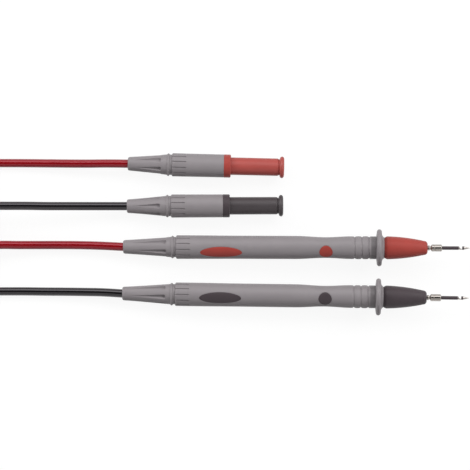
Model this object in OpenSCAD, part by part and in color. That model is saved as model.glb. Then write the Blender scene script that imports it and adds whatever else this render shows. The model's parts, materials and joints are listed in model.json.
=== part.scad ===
// Pair of multimeter test leads, red and black, laid flat. Millimetres, +Z up, table at z = 0.
// Plugs and probes are built along their own +X axis from the end where the cable comes out,
// then laid in place. The sheath of each plug slides back along that axis against its spring.

/* [Cable] */
// Outer diameter of the flexible cable
cable_d = 3.8; // [2.6:0.1:4.4]
// Diameter of the stranded conductor
conductor_d = 1.9; // [1.2:0.1:2.2]
// Free space between neighbouring turns of the coiled cable
turn_gap = 0.6; // [0.5:0.05:1.5]
// Free space between the two layers of the coiled cable
layer_gap = 0.5; // [0.45:0.05:1.5]

/* [Strain relief boots] */
// Radius of a boot at the cable end
boot_tail_r = 3.05; // [2.6:0.05:3.6]
// Radius of a boot just behind its bead
boot_front_r = 4.6; // [4:0.05:4.8]
// How much the boot's side curves: 1 is a plain cone
boot_flare = 1.2; // [1:0.05:1.6]
// Length of the rounding at the cable end of a boot
boot_round = 1; // [0.2:0.05:1.1]
// Length of the plug's boot up to its bead
plug_boot_len = 17.8; // [14:0.1:26]
// Length of the probe's boot up to its bead
probe_boot_len = 21.8; // [18:0.1:30]
// Radius over the bead ring
bead_r = 5.1; // [4.9:0.05:5.6]
// Width of the bead ring
bead_w = 1.6; // [1:0.1:2.5]
// Width of the narrow neck between the bead and the handle
neck_w = 0.4; // [0.2:0.05:1]
// Radius of the spigot that holds the boot in the handle
boot_spigot_r = 3.1; // [2.7:0.05:3.3]
// Number of flutes around a boot
flute_count = 6; // [4:1:8]
// Width of a flute at its wide end
flute_w = 2.2; // [0.8:0.1:2.4]
// Depth of a flute at its wide end
flute_depth = 1; // [0.3:0.05:1.1]
// Start of the flutes on the plug's boot
plug_flute_from = 3.4; // [2:0.1:9]
// Distance from the end of the flutes to the bead on the plug's boot
plug_flute_end = 2.9; // [1:0.1:5]
// Start of the flutes on the probe's boot
probe_flute_from = 4; // [2:0.1:9]
// Distance from the end of the flutes to the bead on the probe's boot
probe_flute_end = 2.3; // [1:0.1:5]

/* [Grip grooves] */
// Number of lengthwise grip grooves around a handle's rear end
groove_count = 12; // [8:1:16]
// Width of a grip groove
groove_w = 0.6; // [0.4:0.05:1]
// Depth of a grip groove
groove_depth = 0.45; // [0.2:0.05:0.5]
// Length of a grip groove
groove_len = 6.1; // [4:0.1:9]

/* [Plug body] */
// Outer radius of the plug body and its collar
body_r = 5.2; // [5.1:0.05:6]
// Length of the grey body
body_len = 23.4; // [22:0.1:30]
// Wall behind the hollow of the body
rear_wall = 1.5; // [1:0.1:2.5]
// Radius of the hollow that takes the sheath and its spring
cavity_r = 4.45; // [4.4:0.05:4.6]
// Rounding at the rear edge of the handles
rear_round = 0.5; // [0.2:0.05:0.8]
// Length of the coloured collar in front of the body
collar_len = 3.1; // [2:0.1:5]
// Length of the collar's spigot inside the body
collar_spigot_len = 1.5; // [1:0.1:2]
// Chamfer on the collar's front edge
collar_chamfer = 0.5; // [0.2:0.05:0.8]

/* [Retractable sheath] */
// Outer radius of the sheath
sheath_r = 3.93; // [3.6:0.01:4]
// Bore radius of the sheath
sheath_bore_r = 2.7; // [2.6:0.05:3]
// Length of the sheath in front of the collar, with its flange
sheath_len = 24; // [20:0.1:26]
// Radius of the stop lip at the sheath's rear end
lip_r = 4.37; // [4.3:0.01:4.38]
// Width of the stop lip
lip_w = 1.2; // [0.8:0.1:2]
// Radius of the end flange
flange_r = 4.85; // [4.4:0.05:5.4]
// Width of the end flange
flange_w = 2; // [1:0.1:2.5]
// Radius of the neck behind the end flange
neck_r = 3.55; // [3.2:0.05:3.8]
// Length of the neck behind the end flange
neck_len = 0.5; // [0.4:0.1:3]
// Wire diameter of the sheath spring
spring_wire_d = 0.5; // [0.3:0.05:0.6]
// Number of turns of the sheath spring
spring_turns = 6; // [4:1:8]

/* [Contact pin] */
// Diameter of the contact pin
pin_d = 4; // [3:0.1:4.2]
// How far the pin's tip stands behind the sheath's front face
pin_recess = 2.3; // [0.5:0.1:4]
// Length of the pin's rounded nose
pin_nose_len = 1.6; // [0.8:0.1:2.5]
// Width of the flange that holds the pin in the body
pin_flange_w = 1; // [0.6:0.1:1.5]
// Length of the solder cup behind the flange
cup_len = 10; // [6:0.1:12]
// Wall of the solder cup
cup_wall = 0.55; // [0.3:0.05:0.6]
// Length of the lantern spring
lantern_len = 12; // [8:0.1:14]
// Distance from the pin's tip to the lantern spring
lantern_from_tip = 7; // [3:0.1:8]
// Sheet thickness of the lantern spring
lantern_t = 0.15; // [0.1:0.01:0.2]
// How far the lantern's ribs bow out
lantern_bow = 0.2; // [0.1:0.01:0.3]
// Number of ribs in the lantern spring
lantern_ribs = 8; // [6:1:12]
// Width of the slots between the lantern's ribs
lantern_slot_w = 0.4; // [0.2:0.05:0.6]

/* [Probe grip] */
// Length of the grey grip
grip_len = 89.9; // [80:0.1:110]
// Radius of the grip at its rear end
grip_r = 5.3; // [5:0.05:6]
// Length of the straight run at the grip's rear end
grip_rear_run = 10.5; // [8:0.5:14]
// Radius of the grip at its middle
grip_mid_r = 5.2; // [5:0.05:6]
// Distance from the grip's rear end to where its middle radius is reached
grip_mid_from = 26; // [20:0.5:40]
// Radius of the grip at the waist
waist_r = 4.65; // [4.4:0.05:5]
// Distance from the grip's rear end to the waist
waist_from = 67.4; // [60:0.1:72]
// Length of the run down to the waist
waist_run_in = 14; // [8:0.1:16]
// Length of the run up from the waist
waist_run_out = 11.6; // [8:0.1:12]
// Radius of the grip in front of the waist
front_r = 5.1; // [4.9:0.05:5.6]
// Number of ring grooves near the guard
ring_count = 3; // [2:1:4]
// Radius at the bottom of the ring grooves
ring_groove_r = 4.8; // [4.5:0.05:5]
// How far the ribs between the ring grooves swell
rib_crown = 0.06; // [0:0.01:0.1]
// Length of the oval window
oval_len = 18.9; // [10:0.1:24]
// Width of the oval window
oval_w = 5.3; // [3:0.1:6]
// Distance from the grip's rear end to the middle of the oval window
oval_from = 20.4; // [16:0.1:40]
// Diameter of the round window
dot_d = 6; // [3:0.1:6.5]

/* [Probe core and front] */
// Outer radius of the coloured core inside the grip
core_r = 3.8; // [3.7:0.05:4]
// Length of the cable jacket held inside the probe
probe_jacket_len = 46; // [30:1:60]
// Length of conductor in front of the jacket, up to the rod's cup
strip_len = 6; // [4:0.5:12]
// Depth of the rod's cup
rod_cup_len = 5; // [3:0.5:8]
// Radius of the contact rod
rod_r = 1.6; // [1.5:0.05:1.8]
// Radius of the finger guard
guard_r = 8.3; // [7:0.1:10]
// Width of the finger guard
guard_w = 3.6; // [3:0.1:5]
// Thickness of the guard's rim
guard_rim_w = 1.9; // [1:0.1:2]
// How much the guard's rim is rounded off at its edges
guard_rim_fall = 1; // [0.5:0.1:1.2]
// Length of the nose cone
nose_len = 19.4; // [16:0.1:26]
// Largest radius of the nose cone
nose_r = 5.15; // [4.8:0.05:5.6]
// Radius of the nose cone against the guard
nose_rear_r = 4.6; // [4.2:0.05:4.8]
// Length of the shoulder from there to the largest radius
nose_shoulder = 1.2; // [0.6:0.1:2]
// Radius of the nose cone at its front
nose_tip_r = 3.15; // [2.4:0.05:3.6]
// Rounding of the nose cone's front
nose_round = 1; // [0.4:0.1:1.4]
// Radius of the core's spigot inside the nose cone
nose_spigot_r = 3; // [2.6:0.05:3.2]
// Length of the core's spigot inside the nose cone
nose_spigot_len = 7; // [4:0.1:9]
// How far the contact rod reaches out of the core's spigot
rod_reach = 2; // [1:0.1:3]

/* [Needle] */
// Radius of the needle's shank and neck
shank_r = 0.9; // [0.7:0.05:1]
// Length of shank inside the nose cone
shank_len = 14; // [10:0.1:15]
// Length of the neck between nose cone and barrel
needle_neck_len = 1.6; // [1:0.1:3]
// Height of the small ring on the neck
neck_ring_h = 0.25; // [0.1:0.05:0.4]
// Radius of the needle's barrel
barrel_r = 1.6; // [1.2:0.05:2]
// Chamfer at both ends of the barrel
barrel_chamfer = 0.4; // [0.1:0.05:0.5]
// Length of the needle's barrel
barrel_len = 4.9; // [3:0.1:6]
// Distance from the barrel's rear end to its ring groove
barrel_ring_from = 1.6; // [0.8:0.1:2]
// Depth of the barrel's ring groove
barrel_ring_depth = 0.12; // [0.05:0.01:0.3]
// Radius of the needle's shaft
shaft_r = 0.8; // [0.5:0.05:1]
// Length of the shaft up to the notch
shaft_len = 7.6; // [5:0.1:12]
// Length of the hook notch
notch_len = 1.4; // [0.8:0.1:2]
// Depth of the hook notch
notch_depth = 1.15; // [0.6:0.05:1.2]
// Length of the full head in front of the notch
head_len = 0.8; // [0.5:0.1:1.5]
// Length of the needle's point
point_len = 2.8; // [1.5:0.1:5]

/* [Fits] */
// Radial gap between pieces that do not move on each other
fit_gap = 0.05; // [0.02:0.01:0.06]
// Radial gap between the sheath and the collar
slide_gap = 0.06; // [0.03:0.01:0.06]

/* [Hidden] */
$fn = 48;
plug_grey = [0.56, 0.53, 0.55];
red = [0.75, 0.27, 0.25];
black = [0.27, 0.24, 0.26];
red_jacket = [0.6, 0.05, 0.08];
black_jacket = [0.08, 0.06, 0.08];
nickel = [0.78, 0.77, 0.74];
brass = [0.8, 0.66, 0.3];
copper = [0.8, 0.45, 0.28];
steel = [0.6, 0.6, 0.62];

cable_r = cable_d / 2;
conductor_r = conductor_d / 2;
pin_r = pin_d / 2;
tiny = 0.01;
// how far a cutting shape reaches past what it cuts
over = 1;
// size of the small chamfers on moulded edges
edge = 0.3;
// how far round its edge each rounded rim is drawn, in degrees
rim_arc = 75;
flange_arc = 60;

// plug stations along its axis
body_from = plug_boot_len + bead_w + neck_w;
body_to = body_from + body_len;
cavity_from = body_from + rear_wall;
collar_to = body_to + collar_len;
stop_at = body_to - collar_spigot_len;
lip_to = stop_at - slide_gap;
lip_from = lip_to - lip_w;
sheath_to = collar_to + sheath_len;
flange_from = sheath_to - flange_w;
pin_to = sheath_to - pin_recess;
pin_flange_to = cavity_from + pin_flange_w;
cup_from = cavity_from - cup_len;
cup_r = conductor_r + fit_gap + cup_wall;
cup_depth = cup_len / 2;
plug_jacket_to = cup_from - fit_gap;
lantern_to = pin_to - lantern_from_tip;
lantern_from = lantern_to - lantern_len;
lantern_seat_r = pin_r - lantern_bow - lantern_t - fit_gap;
lantern_end = lantern_len / 10;
spring_r = (sheath_bore_r + lip_r) / 2 - 0.1;

// probe stations along its axis
grip_from = probe_boot_len + bead_w + neck_w;
grip_to = grip_from + grip_len;
waist_at = grip_from + waist_from;
oval_at = grip_from + oval_from;
guard_to = grip_to + guard_w;
nose_to = guard_to + nose_len;
neck_to = nose_to + needle_neck_len;
barrel_to = neck_to + barrel_len;
notch_from = barrel_to + shaft_len;
notch_to = notch_from + notch_len;
point_from = notch_to + head_len;
needle_to = point_from + point_len;
shank_from = nose_to - shank_len;
rod_from = probe_jacket_len + strip_len;
rod_to = guard_to + nose_spigot_len + rod_reach;
guard_mid = grip_to + guard_w * 0.4;
guard_seat_r = core_r - 0.4;

// a probe rests on its guard's rim and on the rear edge of its grip
rest_at = grip_from + rear_round;
probe_pitch = atan((guard_r - grip_r) / (guard_mid - rest_at));
probe_tail_z = grip_r * cos(probe_pitch) - rest_at * sin(probe_pitch);

// where each piece lies: [x, y] of its cable end, turn about Z, turn about its own axis
red_plug_at = [-75.4, 31.8];
red_plug_yaw = -1.34;
red_plug_roll = 0;
black_plug_at = [-75.85, 12.7];
black_plug_yaw = 0.19;
black_plug_roll = 0;
red_probe_at = [-77.5, -5.6];
red_probe_yaw = -0.2;
red_probe_roll = 28;
black_probe_at = [-77.9, -26.6];
black_probe_yaw = -0.72;
black_probe_roll = 16;
red_boot_turn = 30;
black_boot_turn = 0;
groove_turn = 15;

// coils: middle, turns, outer radius and the angle where the cable comes in
coil_pitch = cable_d + turn_gap;
coil_step = cable_d + layer_gap;
coil_rings = 24;
coil_sides = 6;
cable_sides = 8;
red_coil = [-170, 5.4];
red_coil_r = 26.5;
red_coil_turns = 6.63;
black_coil = [-230, -12.7];
black_coil_r = 25.5;
black_coil_turns = 5.61;
coil_start = 88.5;

// free stretches, from the plug or the coil on: x, y and height over the cable's resting height
red_plug_route = [
    [-84, 31.9, 3.2], [-93, 31.85, 2.6], [-102, 31.9, 1.8], [-111, 32, 1], [-120, 32.1, 0.4],
    [-129, 32.15, 0.1], [-138, 32.15, 0], [-147, 32.05, 0], [-156, 31.95, 0]];
black_plug_route = [
    [-85, 12.7, 3.5], [-94, 12.7, 4.2], [-103, 12.7, 5.3], [-112, 12.7, 6.5], [-121, 12.8, 7.6],
    [-130, 12.8, 8.4], [-139, 12.8, 8.8], [-148, 12.8, 8.9], [-157, 12.8, 8.9], [-166, 12.8, 8.9],
    [-175, 12.8, 8.9], [-184, 12.8, 8.9], [-192, 12.8, 8.8], [-199, 12.8, 8.2], [-205, 12.8, 6.7],
    [-211, 12.8, 4.3], [-217, 12.8, 1.8], [-222, 12.8, 0.4]];
red_probe_route = [
    [-144.6, -7.5, 4.2], [-139.6, -5.4, 3.9], [-134, -4.8, 3.3], [-125, -4.8, 2.2], [-116, -4.8, 1.4],
    [-107, -4.8, 1], [-98, -4.85, 1.2], [-88, -5.1, 1.9]];
black_probe_route = [
    [-206.6, -27.6, 4.2], [-201, -26.1, 3.9], [-194, -25.7, 3.3], [-185, -25.7, 2.2], [-176, -25.7, 1.2],
    [-167, -25.7, 0.5], [-158, -25.7, 0.1], [-149, -25.7, 0], [-140, -25.7, 0], [-131, -25.7, 0],
    [-122, -25.7, 0], [-113, -25.8, 0.2], [-104, -25.85, 0.7], [-95, -25.95, 1.4], [-87, -26.1, 2]];

function lerp(a, b, t) = a + (b - a) * t;
function ease(t) = (1 - cos(180 * t)) / 2;
function clamp01(t) = min(1, max(0, t));
function unit(v) = v / norm(v);
function sum(v) = [for (i = 0, s = 0; i <= len(v); s = s + (i < len(v) ? v[i] : 0), i = i + 1) s][len(v)];
function path_len(p) = sum([for (i = [1:len(p) - 1]) norm(p[i] - p[i - 1])]);

// direction of a piece's own +X axis when it is laid in place
function axis_dir(yaw, pitch) = [cos(yaw) * cos(pitch), sin(yaw) * cos(pitch), sin(pitch)];

// the coil: winds anticlockwise from its outside in, climbs a layer, and winds out again
function coil_point(t, mid, r_out, turns) =
    let (u = t - turns / 2, r_in = r_out - coil_pitch * turns / 2,
         r = abs(u) < 0.25 ? r_in + coil_pitch * (0.125 + 2 * u * u) : r_in + coil_pitch * abs(u),
         s = clamp01((u + 0.25) * 2), a = coil_start + 360 * t)
    [mid[0] + r * cos(a), mid[1] + r * sin(a), cable_r + coil_step * s * s * (3 - 2 * s)];
function coil_dir(t, mid, r_out, turns) =
    unit(coil_point(t + 0.001, mid, r_out, turns) - coil_point(t - 0.001, mid, r_out, turns));
function coil_in(mid, r_out, turns) =
    coil_point(0, mid, r_out, turns) - cable_d * coil_dir(0.001, mid, r_out, turns);
function coil_out(mid, r_out, turns) =
    coil_point(turns, mid, r_out, turns) + cable_d * coil_dir(turns - 0.001, mid, r_out, turns);
function coil_path(mid, r_out, turns) =
    let (n = ceil(turns * coil_rings))
    concat([coil_in(mid, r_out, turns)],
           [for (i = [0:n]) coil_point(turns * i / n, mid, r_out, turns)],
           [coil_out(mid, r_out, turns)]);
function rest(route) = [for (p = route) [p[0], p[1], p[2] + cable_r]];

// least distance from a coil's path to the parts of it that lie over half a turn away, less the tube
function self_gap(p) =
    let (far = ceil(coil_rings * 0.5))
    min([for (i = [0:len(p) - far - 1]) for (j = [i + far:len(p) - 1]) norm(p[i] - p[j])]) - cable_d;

// a tube of n sides along the path p, whose rings keep one corner towards ref
function ring(p, t, ref, r, n) =
    let (b = unit(cross(t, ref)), a = cross(b, t))
    [for (k = [0:n - 1]) p + r * (cos(360 * k / n) * a + sin(360 * k / n) * b)];
module tube(p, refs, first, last, r, n) {
    m = len(p);
    pts = [for (i = [0:m - 1]) each ring(p[i],
        i == 0 ? first : i == m - 1 ? last : unit(p[i + 1] - p[i - 1]), refs[i], r, n)];
    sides = [for (i = [0:m - 2]) for (k = [0:n - 1]) let (a = i * n + k, b = i * n + (k + 1) % n)
        each [[a, b, b + n], [a, b + n, a + n]]];
    caps = [for (k = [1:n - 2]) each [[0, k + 1, k], [(m - 1) * n, (m - 1) * n + k, (m - 1) * n + k + 1]]];
    polyhedron(points = pts, faces = concat(sides, caps), convexity = 8);
}
module cable(p, first, last, n) tube(p, [for (q = p) [0, 0, 1]], first, last, cable_r, n);

// solid of revolution about +X from points [radius, x]
module revolve(pts) rotate([0, 90, 0]) rotate_extrude() polygon(pts);
function bump(x, w, r0, r1, n) =
    let (h = r1 - r0, rho = (w * w / 4 + h * h) / (2 * h), a = asin(w / 2 / rho))
    [for (i = [0:n]) let (b = lerp(-a, a, i / n)) [r1 - rho + rho * cos(b), x + w / 2 + rho * sin(b)]];

module laid(at, z, yaw, pitch, roll)
    translate([at[0], at[1], z]) rotate([0, 0, yaw]) rotate([0, -pitch, 0]) rotate([roll, 0, 0]) children();
module red_plug() laid(red_plug_at, body_r, red_plug_yaw, 0, red_plug_roll) children();
module black_plug() laid(black_plug_at, body_r, black_plug_yaw, 0, black_plug_roll) children();
module red_probe(roll = red_probe_roll)
    laid(red_probe_at, probe_tail_z, red_probe_yaw, probe_pitch, roll) children();
module black_probe(roll = black_probe_roll)
    laid(black_probe_at, probe_tail_z, black_probe_yaw, probe_pitch, roll) children();

// ---- shared by plug and probe

function boot_r(x, len) = boot_tail_r + (boot_front_r - boot_tail_r) * pow(x / len, boot_flare);
// a cone laid along the boot's side, which cuts a round-bottomed flute that widens and deepens
module flute(len, from, run) {
    r0 = boot_r(from, len);
    r1 = boot_r(from + run, len) + flute_w / 2 - flute_depth;
    translate([from, 0, r0]) rotate([0, 90 - atan((r1 - r0) / run), 0])
        cylinder(r1 = tiny, r2 = flute_w / 2, h = norm([run, r1 - r0]));
}
module boot(len, from, end_gap, spigot, turn) {
    run = len - end_gap - from;
    bore = cable_r + fit_gap;
    drop = 0.9 * min(boot_round, boot_tail_r - bore);
    neck_at = len + bead_w;
    end = neck_at + neck_w;
    difference() {
        revolve(concat(
            [[bore, 0]],
            [for (i = [0:3]) let (a = 30 * i) [boot_tail_r - drop * (1 - sin(a)), boot_round * (1 - cos(a))]],
            [for (i = [1:6]) let (x = lerp(boot_round, len, i / 6)) [boot_r(x, len), x]],
            bump(len + tiny, bead_w - 2 * tiny, boot_front_r, bead_r, 6),
            [[boot_front_r, neck_at], [boot_front_r, end], [boot_spigot_r, end],
             [boot_spigot_r, end + spigot], [bore, end + spigot]]));
        for (k = [0:flute_count - 1]) rotate([turn + 360 / flute_count * k, 0, 0]) flute(len, from, run);
    }
}
module grip_grooves(from, r)
    for (k = [0:groove_count - 1]) rotate([groove_turn + 360 / groove_count * k, 0, 0])
        translate([0, 0, r - groove_depth]) linear_extrude(height = groove_depth + over) {
            translate([from - over, -groove_w / 2]) square([groove_len + over, groove_w]);
            translate([from + groove_len, 0]) circle(d = groove_w, $fn = 24);
        }
module jacket(len) revolve([[conductor_r + fit_gap, 0], [cable_r, 0], [cable_r, len], [conductor_r + fit_gap, len]]);
module conductor(to) rotate([0, 90, 0]) translate([0, 0, fit_gap]) cylinder(r = conductor_r, h = to - fit_gap);

// ---- plug

module plug_body() difference() {
    revolve([
        [boot_spigot_r + fit_gap, body_from], [body_r - rear_round, body_from],
        [body_r - rear_round * 0.3, body_from + rear_round * 0.3], [body_r, body_from + rear_round],
        [body_r - 0.05, body_to], [cavity_r, body_to], [cavity_r, cavity_from],
        [boot_spigot_r + fit_gap, cavity_from]]);
    grip_grooves(body_from, body_r);
}
module plug_collar() revolve([
    [sheath_r + slide_gap, stop_at], [cavity_r - fit_gap, stop_at], [cavity_r - fit_gap, body_to],
    [body_r, body_to], [body_r, collar_to - collar_chamfer], [body_r - collar_chamfer, collar_to],
    [sheath_r + slide_gap, collar_to]]);
module plug_sheath() revolve(concat(
    [[sheath_bore_r, lip_from], [lip_r, lip_from], [lip_r, lip_to], [sheath_r, lip_to],
     [sheath_r, flange_from - neck_len - 0.4], [neck_r, flange_from - neck_len],
     [neck_r, flange_from - edge], [lerp(neck_r, flange_r, 0.35), flange_from]],
    [for (i = [0:6]) let (a = lerp(-flange_arc, rim_arc, i / 6))
        [flange_r - flange_w * 0.4 * (1 - cos(a)), flange_from + flange_w * (0.55 + 0.45 * sin(a) / sin(rim_arc))]],
    [[flange_r - flange_w * 0.5, sheath_to], [sheath_bore_r + edge, sheath_to],
     [sheath_bore_r, sheath_to - edge]]));
module plug_pin() revolve(concat(
    [[conductor_r + fit_gap, cup_from], [cup_r, cup_from], [cup_r, cavity_from],
     [cavity_r - fit_gap, cavity_from], [cavity_r - fit_gap, pin_flange_to], [pin_r, pin_flange_to],
     [pin_r, lantern_from], [lantern_seat_r, lantern_from], [lantern_seat_r, lantern_to],
     [pin_r, lantern_to]],
    [for (i = [0:6]) let (a = 90 * i / 6) [pin_r * cos(a), pin_to - pin_nose_len * (1 - sin(a))]],
    [[0, cup_from + cup_depth], [conductor_r + fit_gap, cup_from + cup_depth]]));
module plug_lantern() {
    ends = lantern_from + fit_gap;
    run = lantern_len - 2 * fit_gap;
    r_in = lantern_seat_r + fit_gap;
    outer = [for (i = [0:8]) let (s = i / 8) [r_in + lantern_t + lantern_bow * sin(180 * s),
        ends + lantern_end + (run - 2 * lantern_end) * s]];
    inner = [for (i = [8:-1:0]) outer[i] - [lantern_t, 0]];
    difference() {
        revolve(concat([[r_in, ends], [r_in + lantern_t, ends]], outer,
            [[r_in + lantern_t, ends + run], [r_in, ends + run]], inner));
        for (k = [0:lantern_ribs - 1]) rotate([360 / lantern_ribs * (k + 0.5), 0, 0])
            translate([ends + lantern_end, -lantern_slot_w / 2, 0])
                cube([run - 2 * lantern_end, lantern_slot_w, pin_r + over]);
    }
}
module plug_spring() {
    from = pin_flange_to + fit_gap + spring_wire_d / 2;
    to = lip_from - fit_gap - spring_wire_d / 2;
    rings = 8 * spring_turns;
    p = [for (i = [0:rings]) let (t = i / rings, a = 360 * spring_turns * t,
        x = from + (to - from) * clamp01((t * spring_turns - 0.5) / (spring_turns - 1)))
        [x, spring_r * cos(a), spring_r * sin(a)]];
    refs = [for (q = p) [1, 0, 0]];
    tube(p, refs, [0, 0, 1], unit([0, 0, 1]), spring_wire_d / 2, coil_sides);
}

// ---- probe

function waist_profile(n) = concat(
    [for (i = [0:n]) [lerp(grip_mid_r, waist_r, ease(i / n)), waist_at - waist_run_in * (1 - i / n)]],
    [for (i = [1:n]) [lerp(waist_r, front_r, ease(i / n)), waist_at + waist_run_out * i / n]]);
// three ring grooves between the waist and the guard leave two rounded ribs and a short neck
ribs_from = waist_at + waist_run_out;
ring_pitch = (grip_to - ribs_from) / (ring_count + 0.4);
ring_w = ring_pitch * 0.36;
function ring_groove(x) = [for (i = [0:6]) let (t = i / 3 - 1)
    [lerp(front_r, ring_groove_r, ease(1 - abs(t))), x + ring_w / 2 * t]];
function grip_profile() = concat(
    [[grip_r - rear_round, grip_from], [grip_r - rear_round * 0.3, grip_from + rear_round * 0.3],
     [grip_r, grip_from + rear_round], [grip_r, grip_from + grip_rear_run], [grip_mid_r, grip_from + grip_mid_from]],
    waist_profile(6),
    [for (k = [ring_count:-1:1]) each concat(ring_groove(grip_to - k * ring_pitch),
        [[front_r + rib_crown, grip_to - (k - 0.5) * ring_pitch]])],
    [[front_r, grip_to]]);
module oval(gap) linear_extrude(height = 2 * grip_r)
    translate([oval_at, 0]) polygon([for (i = [0:35]) let (a = 10 * i)
        [(oval_len / 2 - gap) * cos(a), (oval_w / 2 - gap) * sin(a)]]);
module dot(gap) translate([waist_at, 0, 0]) cylinder(d = dot_d - 2 * gap, h = 2 * grip_r);
module grip_solid() revolve(concat([[0, grip_from]], grip_profile(), [[0, grip_to]]));
module probe_grip() difference() {
    revolve(concat([[core_r + fit_gap, grip_from]], grip_profile(), [[core_r + fit_gap, grip_to]]));
    grip_grooves(grip_from, grip_r);
    oval(0);
    dot(0);
}
module probe_core() {
    spigot = boot_spigot_r + fit_gap;
    spigot_to = grip_from + rear_wall;
    hole = cable_r + fit_gap;
    jacket_to = probe_jacket_len + fit_gap;
    end = guard_to + nose_spigot_len;
    difference() {
        union() {
            revolve([[0, grip_from], [core_r, grip_from], [core_r, grip_to], [guard_seat_r, grip_to],
                [guard_seat_r, guard_to], [nose_spigot_r, guard_to], [nose_spigot_r, end - edge],
                [nose_spigot_r - edge, end], [0, end]]);
            intersection() {
                grip_solid();
                union() { oval(fit_gap); dot(fit_gap); }
            }
        }
        revolve([[0, grip_from - over], [spigot, grip_from - over], [spigot, spigot_to], [hole, spigot_to],
            [hole, jacket_to], [rod_r + fit_gap, jacket_to], [rod_r + fit_gap, end + over],
            [0, end + over]]);
    }
}
module probe_guard() {
    root = grip_to + fit_gap;
    rim0 = guard_mid - guard_rim_w / 2;
    rim1 = guard_mid + guard_rim_w / 2;
    shoulder = front_r + 0.1;
    revolve(concat(
        [[guard_seat_r + fit_gap, root], [front_r - 0.1, root],
         [lerp(shoulder, guard_r, 0.35), lerp(root, rim0, 0.45)], [guard_r - guard_rim_fall, rim0]],
        [for (i = [0:6]) let (a = lerp(-rim_arc, rim_arc, i / 6))
            [guard_r - guard_rim_fall * (1 - cos(a)), guard_mid + guard_rim_w / 2 * sin(a) / sin(rim_arc)]],
        [for (i = [0:5]) let (t = i / 5)
            [lerp(guard_r - guard_rim_fall, nose_rear_r + 0.3, sin(90 * t)), lerp(rim1, guard_to, 1 - cos(90 * t))]],
        [[guard_seat_r + fit_gap, guard_to]]));
}
module probe_nose() {
    from = guard_to + fit_gap;
    thread_to = guard_to + nose_spigot_len + fit_gap;
    full = from + nose_shoulder;
    revolve(concat(
        [[nose_spigot_r + fit_gap, from], [nose_rear_r, from],
         [nose_r - 0.15, full - nose_shoulder * 0.4], [nose_r, full]],
        [for (i = [1:6]) let (t = i / 6)
            [lerp(nose_r, nose_tip_r, 0.2 * t + 0.8 * t * t), lerp(full, nose_to - nose_round, t)]],
        [for (i = [1:4]) let (a = 90 * i / 4)
            [nose_tip_r - nose_round * (1 - cos(a)), nose_to - nose_round * (1 - sin(a))]],
        [[shank_r + fit_gap, nose_to], [shank_r + fit_gap, rod_to + fit_gap],
         [rod_r + fit_gap, rod_to + fit_gap], [rod_r + fit_gap, thread_to],
         [nose_spigot_r + fit_gap, thread_to]]));
}
module probe_rod() difference() {
    revolve([[0, rod_from], [rod_r, rod_from], [rod_r, rod_to], [0, rod_to]]);
    revolve([[0, rod_from - over], [conductor_r + fit_gap, rod_from - over],
        [conductor_r + fit_gap, rod_from + rod_cup_len], [0, rod_from + rod_cup_len]]);
    revolve([[0, shank_from - fit_gap], [shank_r + fit_gap, shank_from - fit_gap],
        [shank_r + fit_gap, rod_to + over], [0, rod_to + over]]);
}
module probe_needle() difference() {
    ring = neck_to + barrel_ring_from;
    revolve([
        [0, shank_from], [shank_r, shank_from], [shank_r, nose_to + edge],
        [shank_r + neck_ring_h, nose_to + 2 * edge], [shank_r, neck_to - edge],
        [barrel_r - barrel_chamfer, neck_to], [barrel_r, neck_to + barrel_chamfer],
        [barrel_r, ring - barrel_ring_depth], [barrel_r - barrel_ring_depth, ring],
        [barrel_r, ring + barrel_ring_depth],
        [barrel_r, barrel_to - barrel_chamfer], [barrel_r - barrel_chamfer, barrel_to], [shaft_r, barrel_to],
        [shaft_r, point_from], [0.06, needle_to - 0.05], [0, needle_to]]);
    translate([0, 0, -barrel_r]) linear_extrude(height = 2 * barrel_r) polygon([
        [notch_from, shaft_r + tiny], [notch_from + notch_len * 0.55, shaft_r - notch_depth],
        [notch_to - 0.15, shaft_r - notch_depth], [notch_to, shaft_r + tiny], [notch_to, barrel_r],
        [notch_from, barrel_r]]);
}

// ---- cables

red_plug_tail = [red_plug_at[0], red_plug_at[1], body_r];
black_plug_tail = [black_plug_at[0], black_plug_at[1], body_r];
red_probe_tail = [red_probe_at[0], red_probe_at[1], probe_tail_z];
black_probe_tail = [black_probe_at[0], black_probe_at[1], probe_tail_z];
red_in = coil_in(red_coil, red_coil_r, red_coil_turns);
red_out = coil_out(red_coil, red_coil_r, red_coil_turns);
red_in_dir = coil_dir(0.001, red_coil, red_coil_r, red_coil_turns);
red_out_dir = coil_dir(red_coil_turns - 0.001, red_coil, red_coil_r, red_coil_turns);
black_in = coil_in(black_coil, black_coil_r, black_coil_turns);
black_out = coil_out(black_coil, black_coil_r, black_coil_turns);
black_in_dir = coil_dir(0.001, black_coil, black_coil_r, black_coil_turns);
black_out_dir = coil_dir(black_coil_turns - 0.001, black_coil, black_coil_r, black_coil_turns);
red_plug_path = concat([red_plug_tail], rest(red_plug_route), [red_in]);
black_plug_path = concat([black_plug_tail], rest(black_plug_route), [black_in]);
red_probe_path = concat([red_out], rest(red_probe_route), [red_probe_tail]);
black_probe_path = concat([black_out], rest(black_probe_route), [black_probe_tail]);
red_coil_path = coil_path(red_coil, red_coil_r, red_coil_turns);
black_coil_path = coil_path(black_coil, black_coil_r, black_coil_turns);
echo(red_coil_gap_mm = self_gap(red_coil_path), black_coil_gap_mm = self_gap(black_coil_path));
echo(red_lengths_mm = [for (p = [red_plug_path, red_coil_path, red_probe_path]) path_len(p)]);
echo(black_lengths_mm = [for (p = [black_plug_path, black_coil_path, black_probe_path]) path_len(p)]);
echo(red_out = red_out, red_out_dir = red_out_dir, black_out = black_out, black_out_dir = black_out_dir);
echo(pitch = probe_pitch, tail_z = probe_tail_z);

// ---- sub-parts

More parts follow.
